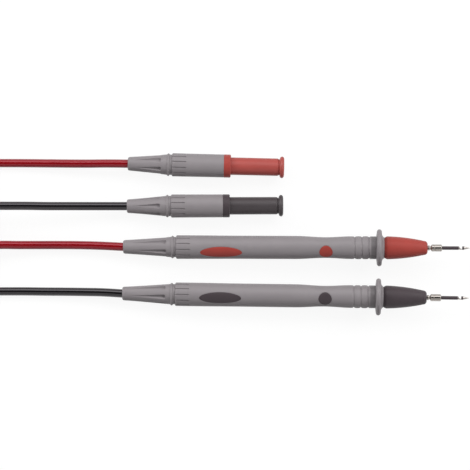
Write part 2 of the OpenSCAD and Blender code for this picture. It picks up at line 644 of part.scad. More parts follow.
module red_plug_boot() color(plug_grey) red_plug()
    boot(plug_boot_len, plug_flute_from, plug_flute_end, rear_wall, red_boot_turn);
module red_plug_body() color(plug_grey) red_plug() plug_body();
module red_plug_collar() color(red) red_plug() plug_collar();
module red_plug_sheath() color(red) red_plug() plug_sheath();
module red_plug_spring() color(steel) red_plug() plug_spring();
module red_plug_pin() color(nickel) red_plug() plug_pin();
module red_plug_lantern() color(brass) red_plug() plug_lantern();
module red_plug_jacket() color(red_jacket) red_plug() jacket(plug_jacket_to);
module red_plug_conductor() color(copper) red_plug() conductor(cup_from + cup_depth - fit_gap);
module red_probe_boot() color(plug_grey) red_probe()
    boot(probe_boot_len, probe_flute_from, probe_flute_end, rear_wall, 0);
module red_probe_grip() color(plug_grey) red_probe() probe_grip();
module red_probe_core() color(red) red_probe() probe_core();
module red_probe_guard() color(plug_grey) red_probe() probe_guard();
module red_probe_nose() color(red) red_probe() probe_nose();
module red_probe_needle() color(nickel) red_probe(0) probe_needle();
module red_probe_rod() color(brass) red_probe() probe_rod();
module red_probe_jacket() color(red_jacket) red_probe() jacket(probe_jacket_len);
module red_probe_conductor() color(copper) red_probe() conductor(rod_from + rod_cup_len - fit_gap);
module red_cable_plug() color(red_jacket)
    cable(red_plug_path, -axis_dir(red_plug_yaw, 0), red_in_dir, cable_sides);
module red_cable_coil() color(red_jacket) cable(red_coil_path, red_in_dir, red_out_dir, coil_sides);
module red_cable_probe() color(red_jacket)
    cable(red_probe_path, red_out_dir, axis_dir(red_probe_yaw, probe_pitch), cable_sides);

module black_plug_boot() color(plug_grey) black_plug()
    boot(plug_boot_len, plug_flute_from, plug_flute_end, rear_wall, black_boot_turn);
module black_plug_body() color(plug_grey) black_plug() plug_body();
module black_plug_collar() color(black) black_plug() plug_collar();
module black_plug_sheath() color(black) black_plug() plug_sheath();
module black_plug_spring() color(steel) black_plug() plug_spring();
module black_plug_pin() color(nickel) black_plug() plug_pin();
module black_plug_lantern() color(brass) black_plug() plug_lantern();
module black_plug_jacket() color(black_jacket) black_plug() jacket(plug_jacket_to);
module black_plug_conductor() color(copper) black_plug() conductor(cup_from + cup_depth - fit_gap);
module black_probe_boot() color(plug_grey) black_probe()
    boot(probe_boot_len, probe_flute_from, probe_flute_end, rear_wall, 0);
module black_probe_grip() color(plug_grey) black_probe() probe_grip();
module black_probe_core() color(black) black_probe() probe_core();
module black_probe_guard() color(plug_grey) black_probe() probe_guard();
module black_probe_nose() color(black) black_probe() probe_nose();
module black_probe_needle() color(nickel) black_probe(0) probe_needle();
module black_probe_rod() color(brass) black_probe() probe_rod();
module black_probe_jacket() color(black_jacket) black_probe() jacket(probe_jacket_len);
module black_probe_conductor() color(copper) black_probe() conductor(rod_from + rod_cup_len - fit_gap);
module black_cable_plug() color(black_jacket)
    cable(black_plug_path, -axis_dir(black_plug_yaw, 0), black_in_dir, cable_sides);
module black_cable_coil() color(black_jacket) cable(black_coil_path, black_in_dir, black_out_dir, coil_sides);
module black_cable_probe() color(black_jacket)
    cable(black_probe_path, black_out_dir, axis_dir(black_probe_yaw, probe_pitch), cable_sides);

red_plug_boot();
red_plug_body();
red_plug_collar();
red_plug_sheath();
red_plug_spring();
red_plug_pin();
red_plug_lantern();
red_plug_jacket();
red_plug_conductor();
red_probe_boot();
red_probe_grip();
red_probe_core();
red_probe_guard();
red_probe_nose();
red_probe_needle();
red_probe_rod();
red_probe_jacket();
red_probe_conductor();
red_cable_plug();
red_cable_coil();
red_cable_probe();
black_plug_boot();
black_plug_body();
black_plug_collar();
black_plug_sheath();
black_plug_spring();
black_plug_pin();
black_plug_lantern();
black_plug_jacket();
black_plug_conductor();
black_probe_boot();
black_probe_grip();
black_probe_core();
black_probe_guard();
black_probe_nose();
black_probe_needle();
black_probe_rod();
black_probe_jacket();
black_probe_conductor();
black_cable_plug();
black_cable_coil();
black_cable_probe();
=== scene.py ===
import json
import math

import bmesh
import bpy
from bpy.props import FloatProperty, FloatVectorProperty, IntProperty, PointerProperty
from mathutils import Matrix, Vector


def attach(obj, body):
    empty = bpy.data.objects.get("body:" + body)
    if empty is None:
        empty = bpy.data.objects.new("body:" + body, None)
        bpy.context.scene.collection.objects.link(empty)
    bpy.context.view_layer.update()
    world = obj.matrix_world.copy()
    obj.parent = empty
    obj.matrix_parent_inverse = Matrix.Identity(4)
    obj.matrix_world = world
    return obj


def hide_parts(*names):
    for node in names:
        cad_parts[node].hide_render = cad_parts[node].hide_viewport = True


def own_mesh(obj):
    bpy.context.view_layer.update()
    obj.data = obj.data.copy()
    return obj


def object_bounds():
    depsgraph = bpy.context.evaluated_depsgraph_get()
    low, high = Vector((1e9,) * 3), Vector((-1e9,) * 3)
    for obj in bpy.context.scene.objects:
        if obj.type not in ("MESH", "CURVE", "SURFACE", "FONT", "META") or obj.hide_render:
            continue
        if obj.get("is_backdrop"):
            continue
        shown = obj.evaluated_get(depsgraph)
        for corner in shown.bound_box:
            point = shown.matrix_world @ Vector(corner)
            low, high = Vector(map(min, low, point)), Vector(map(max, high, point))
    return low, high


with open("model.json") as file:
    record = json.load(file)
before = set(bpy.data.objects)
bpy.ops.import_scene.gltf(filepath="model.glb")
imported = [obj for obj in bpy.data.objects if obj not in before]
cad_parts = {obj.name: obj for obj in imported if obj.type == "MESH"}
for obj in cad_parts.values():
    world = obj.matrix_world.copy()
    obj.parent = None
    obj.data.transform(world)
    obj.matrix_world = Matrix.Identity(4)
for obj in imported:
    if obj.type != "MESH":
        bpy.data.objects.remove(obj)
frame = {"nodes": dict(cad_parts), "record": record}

bl_info = {
    "name": "Multimeter test leads",
    "version": (1, 0, 0),
    "blender": (4, 5, 0),
    "location": "View3D > Sidebar > Test leads",
    "description": "Dresses a red and a black test lead: cables, sheathed plugs and hand probes",
    "category": "Add Mesh",
}

MM = 0.001
FRAME_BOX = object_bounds()
COLOURS = ("red", "black")


def linear(hex_colour):
    """An sRGB hex value as linear red, green, blue and alpha."""
    channels = [int(hex_colour[i : i + 2], 16) / 255 for i in (0, 2, 4)]
    return [c / 12.92 if c <= 0.04045 else ((c + 0.055) / 1.055) ** 2.4 for c in channels] + [1.0]


def length(label, told, size):
    """A size in millimetres as a property in metres."""
    return FloatProperty(name=label, description=told, default=size * MM, unit="LENGTH", precision=5)


def colour(label, told, hex_colour):
    return FloatVectorProperty(
        name=label, description=told, default=linear(hex_colour), subtype="COLOR", size=4, min=0, max=1
    )


# ---- sizes and colours that a user would change


class LeadSizes(bpy.types.PropertyGroup):
    """Sizes of the dressed leads."""

    cable_d: length("Cable", "Outer diameter of the cable", 3.8)
    flute_depth: length("Flute depth", "Depth of a boot's flutes at their wide end", 1.15)
    flute_w: length("Flute width", "Width of a boot's flutes at their wide end", 2.3)
    groove_depth: length("Groove depth", "Depth of the grip grooves", 0.45)
    groove_w: length("Groove width", "Width of the grip grooves", 0.7)
    seam: length("Seam", "Gap round the coloured windows of the grip", 0.05)
    spring_d: length("Spring wire", "Diameter of the sheath spring's wire", 0.5)
    around: IntProperty(name="Facets", description="Facets round a turned piece", default=96, min=24)


class LeadColours(bpy.types.PropertyGroup):
    """Colours of the dressed leads."""

    grey: colour("Grey", "Soft grey of boots, bodies, grips and guards", "8e888b")
    red_hard: colour("Red plastic", "Nose, windows and collar of the red lead", "a63b32")
    black_hard: colour("Black plastic", "Nose, windows and collar of the black lead", "40363b")
    red_sheath: colour("Red sheath", "Retractable sheath of the red plug", "ad4841")
    black_sheath: colour("Black sheath", "Retractable sheath of the black plug", "413a3d")
    red_cable: colour("Red cable", "Jacket of the red cable", "8c0612")
    black_cable: colour("Black cable", "Jacket of the black cable", "0c0a0d")
    nickel: colour("Nickel", "Plated needles and pins", "aaa49f")
    brass: colour("Brass", "Lantern springs and contact rods", "c8a458")
    copper: colour("Copper", "Stranded conductors", "c47a50")
    steel: colour("Spring steel", "Sheath springs", "a4a4a6")
    floor: colour("Table", "White opal table", "f4f4f4")


class Studio(bpy.types.PropertyGroup):
    """Camera and lights."""

    view_w: length("View width", "Width that the camera sees on the leads", 211.5)
    lens: FloatProperty(name="Lens", description="Focal length", default=200.0, unit="CAMERA")
    key: FloatProperty(name="Key", description="Power of the far softbox", default=8.4, unit="POWER")
    fill: FloatProperty(name="Fill", description="Power of the near softbox", default=2.6, unit="POWER")
    sides: FloatProperty(name="Sides", description="Power of each end's softbox", default=4.6, unit="POWER")
    sky: FloatProperty(name="Room light", description="Strength of the room's even light", default=0.08)
    glow: FloatProperty(name="Table glow", description="Light up through the table", default=0.99)


# ---- stations along each piece's own axis, in millimetres from the end where its cable comes out

BOOT_TAIL_R, BOOT_FRONT_R, BOOT_FLARE, BOOT_ROUND = 3.05, 4.6, 1.2, 0.75
BEAD_R, BEAD_W, NECK_W, SPIGOT_R, SPIGOT_LEN = 5.1, 1.2, 1.0, 3.1, 1.5
# each boot: its length up to its bead, where its flutes start, and how far from the bead they end
PLUG_BOOT, PROBE_BOOT = (17.6, 2.6, 2.5), (21.6, 3.2, 2.0)
FLUTES, GROOVES, GROOVE_LEN, GROOVE_TURN = 6, 12, 6.1, 15.0
BORE_R = 1.95

BODY_FROM, BODY_TO, BODY_R = 19.8, 43.2, 5.2
CAVITY_FROM, CAVITY_R, SPIGOT_BORE_R = 21.3, 4.45, 3.15
COLLAR_TO, STOP_AT = 46.3, 41.7
SHEATH_R, SHEATH_BORE_R, SHEATH_TO = 3.93, 2.7, 70.3
LIP_FROM, LIP_TO, LIP_R = 40.44, 41.64, 4.37
NECK_FROM, NECK_R, FLANGE_FROM, FLANGE_R = 67.8, 3.55, 68.3, 4.85
SPRING_FROM, SPRING_TO, SPRING_R, SPRING_TURNS = 22.6, 40.14, 3.435, 6

GRIP_FROM, GRIP_TO, GRIP_R, GRIP_MID_R = 23.8, 113.7, 5.3, 5.2
WAIST_AT, WAIST_R, WAIST_IN, WAIST_OUT, FRONT_R = 91.2, 4.65, 14.0, 11.6, 5.1
RINGS, RING_GROOVE_R, RIB_CROWN = 3, 4.7, 0.06
RIBS_FROM = WAIST_AT + WAIST_OUT
RING_PITCH = (GRIP_TO - RIBS_FROM) / (RINGS + 0.4)
RING_W = 0.36 * RING_PITCH
CORE_R, CORE_BORE_R, ROD_BORE_R, ROD_BORE_FROM = 3.8, 1.95, 1.65, 46.05
GUARD_SEAT_R, NOSE_SEAT_R, NOSE_MOUTH_R = 3.4, 3.0, 0.95
OVAL_AT, OVAL_LEN, OVAL_W, DOT_D, DOT_DISH = 44.2, 18.9, 5.3, 6.0, 0.35
# the band of painted shade on the grip's neck behind the guard: its start, margin, softness and the share
# of colour left
BAND_FROM, BAND_MARGIN, BAND_SOFT, PAINTED_SHADE_SHARE = 111.4, 0.5, 0.15, 0.66
GUARD_MID, GUARD_TO, GUARD_R, GUARD_RIM = 115.1, 117.3, 8.3, 2.2
NOSE_TO, NOSE_R, NOSE_REAR_R, NOSE_TIP_R, NOSE_ROUND = 136.7, 5.15, 4.6, 3.15, 1.5
SPIGOT_TO, ROD_TO = 124.3, 126.3
GAP = 0.05  # left between two pieces that are pressed or screwed together
SHANK_FROM, NECK_TO, BARREL_TO, SLEEVE_TO = 122.7, 138.3, 143.2, 150.6
NEEDLE_SHANK_R, NECK_RING_R, BARREL_R, BARREL_RING, SHAFT_R = 0.9, 1.15, 1.6, 0.1, 0.8
NOTCH_FROM, NOTCH_DEEP, NOTCH_FLOOR_TO, NOTCH_TO, NOTCH_FLOOR = 150.8, 151.57, 152.05, 152.2, -0.35
POINT_FROM, NEEDLE_TO = 153.0, 155.8
PROBE_PITCH, PROBE_TAIL_Z = 1.89151, 4.49504
VIEW_MIDDLE, TABLE_SHARE = (-27.225, -0.27, 5.0), 0.12

# where the pieces lie: tail [x, y], height, turn about Z, pitch, turn about their own axis
PLUGS = {
    "red": (-75.4, 31.8, 5.2, -1.34, 0.0, 0.0),
    "black": (-75.85, 12.7, 5.2, 0.19, 0.0, 0.0),
}
PROBES = {
    "red": (-77.5, -5.6, PROBE_TAIL_Z, -0.2, PROBE_PITCH, 28.0),
    "black": (-77.9, -26.6, PROBE_TAIL_Z, -0.72, PROBE_PITCH, 16.0),
}
BOOT_TURN = {"red": 30.0, "black": 0.0}

# free stretches of the cables: x, y and height over the cable's resting height
PLUG_ROUTE = {
    "red": [
        (-84, 31.9, 3.2), (-93, 31.85, 2.6), (-102, 31.9, 1.8), (-111, 32, 1), (-120, 32.1, 0.4),
        (-129, 32.15, 0.1), (-138, 32.15, 0), (-147, 32.05, 0), (-156, 31.95, 0),
    ],
    "black": [
        (-85, 12.7, 3.5), (-94, 12.7, 4.2), (-103, 12.7, 5.3), (-112, 12.7, 6.5), (-121, 12.8, 7.6),
        (-130, 12.8, 8.4), (-139, 12.8, 8.8), (-148, 12.8, 8.9), (-157, 12.8, 8.9), (-166, 12.8, 8.9),
        (-175, 12.8, 8.9), (-184, 12.8, 8.9), (-192, 12.8, 8.8), (-199, 12.8, 8.2), (-205, 12.8, 6.7),
        (-211, 12.8, 4.3), (-217, 12.8, 1.8), (-222, 12.8, 0.4),
    ],
}
PROBE_ROUTE = {
    "red": [
        (-144.6, -7.5, 4.2), (-139.6, -5.4, 3.9), (-134, -4.8, 3.3), (-125, -4.8, 2.2), (-116, -4.8, 1.4),
        (-107, -4.8, 1), (-98, -4.85, 1.2), (-88, -5.1, 1.9),
    ],
    "black": [
        (-206.6, -27.6, 4.2), (-201, -26.1, 3.9), (-194, -25.7, 3.3), (-185, -25.7, 2.2),
        (-176, -25.7, 1.2), (-167, -25.7, 0.5), (-158, -25.7, 0.1), (-149, -25.7, 0),
        (-140, -25.7, 0), (-131, -25.7, 0), (-122, -25.7, 0), (-113, -25.8, 0.2),
        (-104, -25.85, 0.7), (-95, -25.95, 1.4), (-87, -26.1, 2),
    ],
}
# coils: middle, outer radius, turns; both start at the same angle and share their steps
COILS = {"red": ((-170, 5.4), 26.5, 6.63), "black": ((-230, -12.7), 25.5, 5.61)}
COIL_PITCH, COIL_STEP, COIL_START, COIL_POINTS = 4.4, 4.3, 88.5, 16


# ---- small sums


def lerp(a, b, t):
    return a + (b - a) * t


def clamp(t, low=0.0, high=1.0):
    return min(high, max(low, t))


def ease(t):
    t = clamp(t)
    return t * t * (3 - 2 * t)


def evenly(a, b, n):
    """n + 1 numbers from a to b."""
    return [lerp(a, b, i / n) for i in range(n + 1)]


def laid(x, y, z, yaw, pitch, roll):
    """The matrix that takes a piece built along +X in millimetres to its place in metres."""
    made = Matrix.Scale(MM, 4) @ Matrix.Translation((x, y, z))
    for turn, axis in ((yaw, "Z"), (-pitch, "Y"), (roll, "X")):
        made = made @ Matrix.Rotation(math.radians(turn), 4, axis)
    return made


def round_axis(x, r, a):
    """The point at x along the axis and r away from it, at the angle a."""
    return x, r * math.sin(a), r * math.cos(a)


def rounded(outline, steps=5):
    """An outline of (x, radius, rounding) points with its corners rounded."""
    made = []
    for i, (x, r, fillet) in enumerate(outline):
        here = Vector((x, r))
        if fillet <= 0 or i in (0, len(outline) - 1):
            made.append((x, r))
            continue
        back, on = Vector(outline[i - 1][:2]) - here, Vector(outline[i + 1][:2]) - here
        reach = min(fillet, back.length * 0.48, on.length * 0.48)
        a, b = here + back.normalized() * reach, here + on.normalized() * reach
        for t in evenly(0, 1, steps):
            p = a * (1 - t) ** 2 + here * (2 * t * (1 - t)) + b * t * t
            made.append((p.x, p.y))
    return made


def along(profile):
    """A function that reads the radius off a profile of (x, radius) points."""

    def radius(x):
        for (x0, r0), (x1, r1) in zip(profile, profile[1:]):
            if x <= x1:
                return r0 if x1 <= x0 else lerp(r0, r1, clamp((x - x0) / (x1 - x0)))
        return profile[-1][1]

    return radius


def stations(profile, *runs, least=0.012):
    """The places along a profile where a skin gets a ring: its corners and each run (from, to, step)."""
    places = [x for x, _ in profile]
    for start, stop, step in runs:
        places += evenly(start, stop, max(1, round((stop - start) / step)))
    places = sorted(p for p in places if profile[0][0] <= p <= profile[-1][0])
    kept = [places[0]]
    for p in places[1:]:
        if p - kept[-1] > least:
            kept.append(p)
    kept[-1] = places[-1]
    return kept


# ---- meshes

WELD_MM, SHARP_FROM = 0.0005, math.radians(42)


def finished(name, bm, place, slot, body, *nodes):
    """Turns a bmesh in millimetres into a named piece in its place, which rides on a body."""
    bmesh.ops.remove_doubles(bm, verts=bm.verts, dist=WELD_MM)
    bmesh.ops.recalc_face_normals(bm, faces=bm.faces)
    mesh = bpy.data.meshes.new(name)
    bm.to_mesh(mesh)
    bm.free()
    axis = mesh.attributes.new("axis_mm", "FLOAT", "POINT")
    axis.data.foreach_set("value", [v.co.x for v in mesh.vertices])
    mesh.transform(place)
    mesh.shade_smooth()
    mesh.set_sharp_from_angle(angle=SHARP_FROM)
    piece = bpy.data.objects.new(name, mesh)
    bpy.context.scene.collection.objects.link(piece)
    mesh.materials.append(FINISHES[slot]())
    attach(piece, body)
    if nodes:
        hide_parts(*nodes)
    return piece


def turned(outline, around, bm=None, closed=True):
    """A solid of revolution about +X from an outline of (x, radius). A point on the axis is one vertex."""
    bm = bm or bmesh.new()
    rings = []
    for x, r in outline:
        if r < 1e-6:
            rings.append([bm.verts.new((x, 0, 0))])
        else:
            steps = (2 * math.pi * k / around for k in range(around))
            rings.append([bm.verts.new(round_axis(x, r, a)) for a in steps])
    pairs = list(zip(rings, rings[1:])) + ([(rings[-1], rings[0])] if closed else [])
    for a, b in pairs:
        if len(a) == 1 and len(b) == 1:
            continue
        for k in range(around):
            m = (k + 1) % around
            quad = [a[k % len(a)], a[m % len(a)], b[m % len(b)], b[k % len(b)]]
            corners = []
            for v in quad:
                if v not in corners:
                    corners.append(v)
            bm.faces.new(corners)
    return bm


def sleeve(xs, angles, outer, bore, window=None):
    """A hollow skin along +X. angles(x) gives its columns, outer(x, column) and bore(x) its radii.
    Where window(i, j) holds, the cell from ring i and column j to the next ones is open, right through."""
    bm = bmesh.new()
    outside, inside = [], []
    for x in xs:
        columns = angles(x)
        outside.append([bm.verts.new(round_axis(x, outer(x, j), a)) for j, a in enumerate(columns)])
        inside.append([bm.verts.new(round_axis(x, bore(x), a)) for a in columns])
    count = len(outside[0])
    shut = lambda i, j: window is None or not window(i, j % count)
    for i in range(len(xs) - 1):
        for j in range(count):
            m = (j + 1) % count
            if shut(i, j):
                bm.faces.new([outside[i][j], outside[i + 1][j], outside[i + 1][m], outside[i][m]])
                bm.faces.new([inside[i][j], inside[i][m], inside[i + 1][m], inside[i + 1][j]])
                continue
            for near, (a, b), (c, d) in (
                (shut(i, j - 1), (i, j), (i + 1, j)),
                (shut(i, j + 1), (i + 1, m), (i, m)),
                (shut(i - 1, j), (i, m), (i, j)),
                (shut(i + 1, j), (i + 1, j), (i + 1, m)),
            ):
                if near:
                    bm.faces.new([outside[a][b], outside[c][d], inside[c][d], inside[a][b]])
    for i in (0, len(xs) - 1):
        for j in range(count):
            m = (j + 1) % count
            bm.faces.new([outside[i][j], outside[i][m], inside[i][m], inside[i][j]])
    return bm


def swept(points, radius, sides):
    """A round wire along the points, with closed ends."""
    bm = bmesh.new()
    rings = []
    side = Vector((1, 0, 0))
    for i, p in enumerate(points):
        on = (points[min(i + 1, len(points) - 1)] - points[max(i - 1, 0)]).normalized()
        up = (side - on * side.dot(on)).normalized()
        out = on.cross(up)
        rings.append([
            bm.verts.new(p + radius * (math.cos(a) * up + math.sin(a) * out))
            for a in (2 * math.pi * k / sides for k in range(sides))
        ])
    for a, b in zip(rings, rings[1:]):
        for k in range(sides):
            m = (k + 1) % sides
            bm.faces.new([a[k], a[m], b[m], b[k]])
    bm.faces.new(rings[0])
    bm.faces.new(rings[-1])
    return bm


# ---- columns that close in on a cut, so that its edges are clean at any taper


def cut_columns(cuts, turn, cut_w, radius, inner, between):
    """A function of x that gives the angles of a ring's columns. The cuts are equal and spread round the
    piece. inner are the columns over a cut, as shares of its half width, and between is how many columns
    lie from one cut to the next."""

    def angles(x):
        r = radius(x)
        half = cut_w(x) / 2 / r
        step = 2 * math.pi / cuts
        made = []
        for k in range(cuts):
            mid = math.radians(turn) + k * step
            made += [mid + u * half for u in inner]
            start, stop = mid + inner[-1] * half, mid + step + inner[0] * half
            made += [lerp(start, stop, n / (between + 1)) for n in range(1, between + 1)]
        return made

    return angles


INNER = (-1.3, -1.08, -0.97, -0.85, -0.6, -0.3, 0.0, 0.3, 0.6, 0.85, 0.97, 1.08, 1.3)
BETWEEN = 5
EDGE, LIP_AT, LIP_DEPTH = 1.02, 0.9, 0.03


def dip(column, power):
    """How deep a cut is over a column, from 0 past its edge to 1 at its middle, with a lip just inside
    the edge."""
    place = column % (len(INNER) + BETWEEN)
    u = abs(INNER[place]) if place < len(INNER) else INNER[-1]
    return 0.0 if u > EDGE else LIP_DEPTH if u > LIP_AT else 1 - u**power


# ---- materials: each is what the real piece is made of, with how its surface was made. The grey elastomer also carries a band of painted shade behind the guard


def add(tree, kind, inputs=(), **settings):
    """One node with its settings. inputs pairs a socket with a value or with another node's output."""
    made = tree.nodes.new("ShaderNode" + kind)
    for name, value in settings.items():
        setattr(made, name, value)
    for socket, value in dict(inputs).items():
        if isinstance(value, bpy.types.NodeSocket):
            tree.links.new(value, made.inputs[socket])
        else:
            made.inputs[socket].default_value = value
    return made


def per_metre(size_mm):
    """The scale of a pattern whose grains are size_mm across."""
    return 1 / (size_mm * MM)


def material(name, shader=()):
    """A named material with its shader's constants. Gives it with its tree, shader and coordinates."""
    made = bpy.data.materials.new(name)
    made.use_nodes = True
    tree = made.node_tree
    tree.nodes.clear()
    body = add(tree, "BsdfPrincipled", shader)
    add(tree, "OutputMaterial", {"Surface": body.outputs[0]})
    return made, tree, body, add(tree, "TexCoord").outputs["Object"]


def shade(tint, share):
    """A colour made lighter or darker by a share."""
    return [clamp(c * share) for c in tint[:3]] + [1.0]


PATCH_SPAN = (0.3, 0.7)  # the part of a noise's range that its values fill


def mottled(tree, body, where, tint, patch_mm, spread, rough, grain_mm, height_mm, patch_rough=0.05):
    """Colour that drifts a little over patches, roughness that follows it, and a fine grain."""
    patch = add(tree, "TexNoise", {
        "Vector": where, "Scale": per_metre(patch_mm), "Detail": 4.0, "Roughness": 0.6,
    })
    ramp = add(tree, "ValToRGB", {"Fac": patch.outputs["Fac"]})
    for stop, at, share in zip(ramp.color_ramp.elements, PATCH_SPAN, (1 - spread, 1 + spread)):
        stop.position, stop.color = at, shade(tint, share)
    tree.links.new(ramp.outputs["Color"], body.inputs["Base Color"])
    dull = add(tree, "MapRange", {
        "Value": patch.outputs["Fac"], "From Min": PATCH_SPAN[0], "From Max": PATCH_SPAN[1],
        "To Min": rough - patch_rough, "To Max": rough + patch_rough,
    })
    tree.links.new(dull.outputs[0], body.inputs["Roughness"])
    grain = add(tree, "TexNoise", {
        "Vector": where, "Scale": per_metre(grain_mm), "Detail": 3.0, "Roughness": 0.65,
    })
    bump = add(tree, "Bump", {"Height": grain.outputs["Fac"], "Distance": height_mm * MM, "Strength": 1.0})
    tree.links.new(bump.outputs[0], body.inputs["Normal"])


def once(build):
    """Builds a material the first time that it is asked for."""
    kept = {}

    def get():
        if "made" not in kept:
            kept["made"] = build()
        return kept["made"]

    return get


def colours():
    return bpy.context.scene.lead_colours


def elastomer():
    """Moulded thermoplastic elastomer with a spark-eroded texture: soft broad sheen, a grain felt more
    than seen. On the grip's neck behind the guard, where the guard's shade falls, a band of painted shade
    darkens the colour."""
    made, tree, body, where = material("moulded_grey_elastomer", {"IOR": 1.5, "Sheen Weight": 0.12})
    mottled(
        tree, body, where, colours().grey, patch_mm=9, spread=0.035, rough=0.52, grain_mm=0.22,
        height_mm=0.012,
    )
    # painted shade: the colour is darkened on the neck between the last rib and the guard, where the
    # guard's shade falls
    axis = add(tree, "Attribute", attribute_name="axis_mm")
    start, span = BAND_FROM - BAND_MARGIN, GRIP_TO - BAND_FROM + 2 * BAND_MARGIN
    place = add(tree, "MapRange", {
        "Value": axis.outputs["Fac"], "From Min": start, "From Max": start + span,
    })
    band = add(tree, "ValToRGB", {"Fac": place.outputs[0]})
    stops = (
        (BAND_MARGIN - BAND_SOFT, 1.0), (BAND_MARGIN + BAND_SOFT, PAINTED_SHADE_SHARE),
        (span - BAND_MARGIN, PAINTED_SHADE_SHARE), (span - BAND_MARGIN + 0.02, 1.0),
    )
    while len(band.color_ramp.elements) < len(stops):
        band.color_ramp.elements.new(0.5)
    for stop, (at, share) in zip(band.color_ramp.elements, stops):
        stop.position, stop.color = at / span, [share] * 3 + [1.0]
    skin = body.inputs["Base Color"].links[0].from_socket
    painted_shade = add(
        tree, "Mix", {"Factor": 1.0, "A": skin, "B": band.outputs["Color"]},
        data_type="RGBA", blend_type="MULTIPLY",
    )
    tree.links.new(painted_shade.outputs["Result"], body.inputs["Base Color"])
    return made


def hard_plastic(lead):
    """Injection-moulded polypropylene: satin, with a soft grain. At 0.55 mm the grain is coarser than the
    real one, so that it shows."""

    def build():
        tint = colours().red_hard if lead == "red" else colours().black_hard
        made, tree, body, where = material(
            f"moulded_{lead}_polypropylene", {"IOR": 1.49, "Specular IOR Level": 0.4, "Sheen Weight": 0.2}
        )
        mottled(tree, body, where, tint, patch_mm=6, spread=0.06, rough=0.58, grain_mm=0.55, height_mm=0.02)
        return made

    return build


def sheath_plastic(lead):
    """Moulded polyamide: a smooth satin tube with a soft streak of light along it and hardly a grain."""

    def build():
        tint = colours().red_sheath if lead == "red" else colours().black_sheath
        made, tree, body, where = material(f"moulded_{lead}_polyamide", {"IOR": 1.53})
        mottled(tree, body, where, tint, patch_mm=7, spread=0.04, rough=0.5, grain_mm=0.35, height_mm=0.006)
        return made

    return build


def jacket(lead):
    """Extruded silicone rubber: glossy. Its gloss drifts along the cable, and shallow waves of 0.9 mm,
    coarser than the real ones so that they show, break up its streaks of light."""

    def build():
        tint = colours().red_cable if lead == "red" else colours().black_cable
        # the red jacket tints its own shine, the black one hardly
        shine, level = ((1.0, 0.42, 0.5, 1.0), 1.0) if lead == "red" else ((1.0, 0.95, 1.0, 1.0), 0.75)
        made, tree, body, where = material(
            f"extruded_{lead}_silicone", {"IOR": 1.53, "Specular IOR Level": level, "Specular Tint": shine}
        )
        mottled(
            tree, body, where, tint, patch_mm=14, spread=0.08, rough=0.11, grain_mm=0.9, height_mm=0.002,
            patch_rough=0.03,
        )
        return made

    return build


def metal(name, tint_name, rough, ring_mm, ring_depth_mm):
    """A turned, rolled or drawn metal: bright, with fine rings left round it by the tool. The rings are
    coarser than the real ones so that they show, and only pieces made here carry the axis they follow."""

    def build():
        made, tree, body, where = material(name, {"Metallic": 1.0})
        tint = getattr(colours(), tint_name)
        mottled(
            tree, body, where, tint, patch_mm=2.5, spread=0.05, rough=rough, grain_mm=0.12,
            height_mm=0.0008, patch_rough=rough * 0.2,
        )
        axis = add(tree, "Attribute", attribute_name="axis_mm")
        ring = add(tree, "TexNoise", {
            "W": axis.outputs["Fac"], "Scale": 1 / ring_mm, "Detail": 2.0,
        }, noise_dimensions="1D")
        bump = add(tree, "Bump", {
            "Height": ring.outputs["Fac"], "Distance": ring_depth_mm * MM, "Strength": 1.0,
            "Normal": body.inputs["Normal"].links[0].from_socket,
        })
        tree.links.new(bump.outputs[0], body.inputs["Normal"])
        return made

    return build


FINISHES = {
    "grey_elastomer": once(elastomer),
    "red_plastic": once(hard_plastic("red")),
    "black_plastic": once(hard_plastic("black")),
    "red_sheath_plastic": once(sheath_plastic("red")),
    "black_sheath_plastic": once(sheath_plastic("black")),
    "red_cable": once(jacket("red")),
    "black_cable": once(jacket("black")),
    "nickel_plate": once(metal("plated_nickel", "nickel", 0.15, 0.16, 0.0015)),
    "contact_brass": once(metal("rolled_brass", "brass", 0.3, 0.2, 0.004)),
    "copper_strand": once(metal("drawn_copper", "copper", 0.35, 0.3, 0.004)),
    "spring_steel": once(metal("drawn_spring_steel", "steel", 0.28, 0.3, 0.003)),
}


# ---- the pieces


class Step(bpy.types.Operator):
    """A step of dressing the leads."""

    bl_options = {"REGISTER", "UNDO"}

    def execute(self, context):
        for lead in COLOURS:
            self.make(context.scene.lead_sizes, lead)
        return {"FINISHED"}


def coil_point(t, middle, r_out, turns):
    """A coil's centreline after t turns: in from its outside, up a layer and out again."""
    u, r_in = t - turns / 2, r_out - COIL_PITCH * turns / 2
    r = r_in + (COIL_PITCH * (0.125 + 2 * u * u) if abs(u) < 0.25 else COIL_PITCH * abs(u))
    s, a = clamp((u + 0.25) * 2), math.radians(COIL_START + 360 * t)
    return Vector((middle[0] + r * math.cos(a), middle[1] + r * math.sin(a), COIL_STEP * ease(s)))


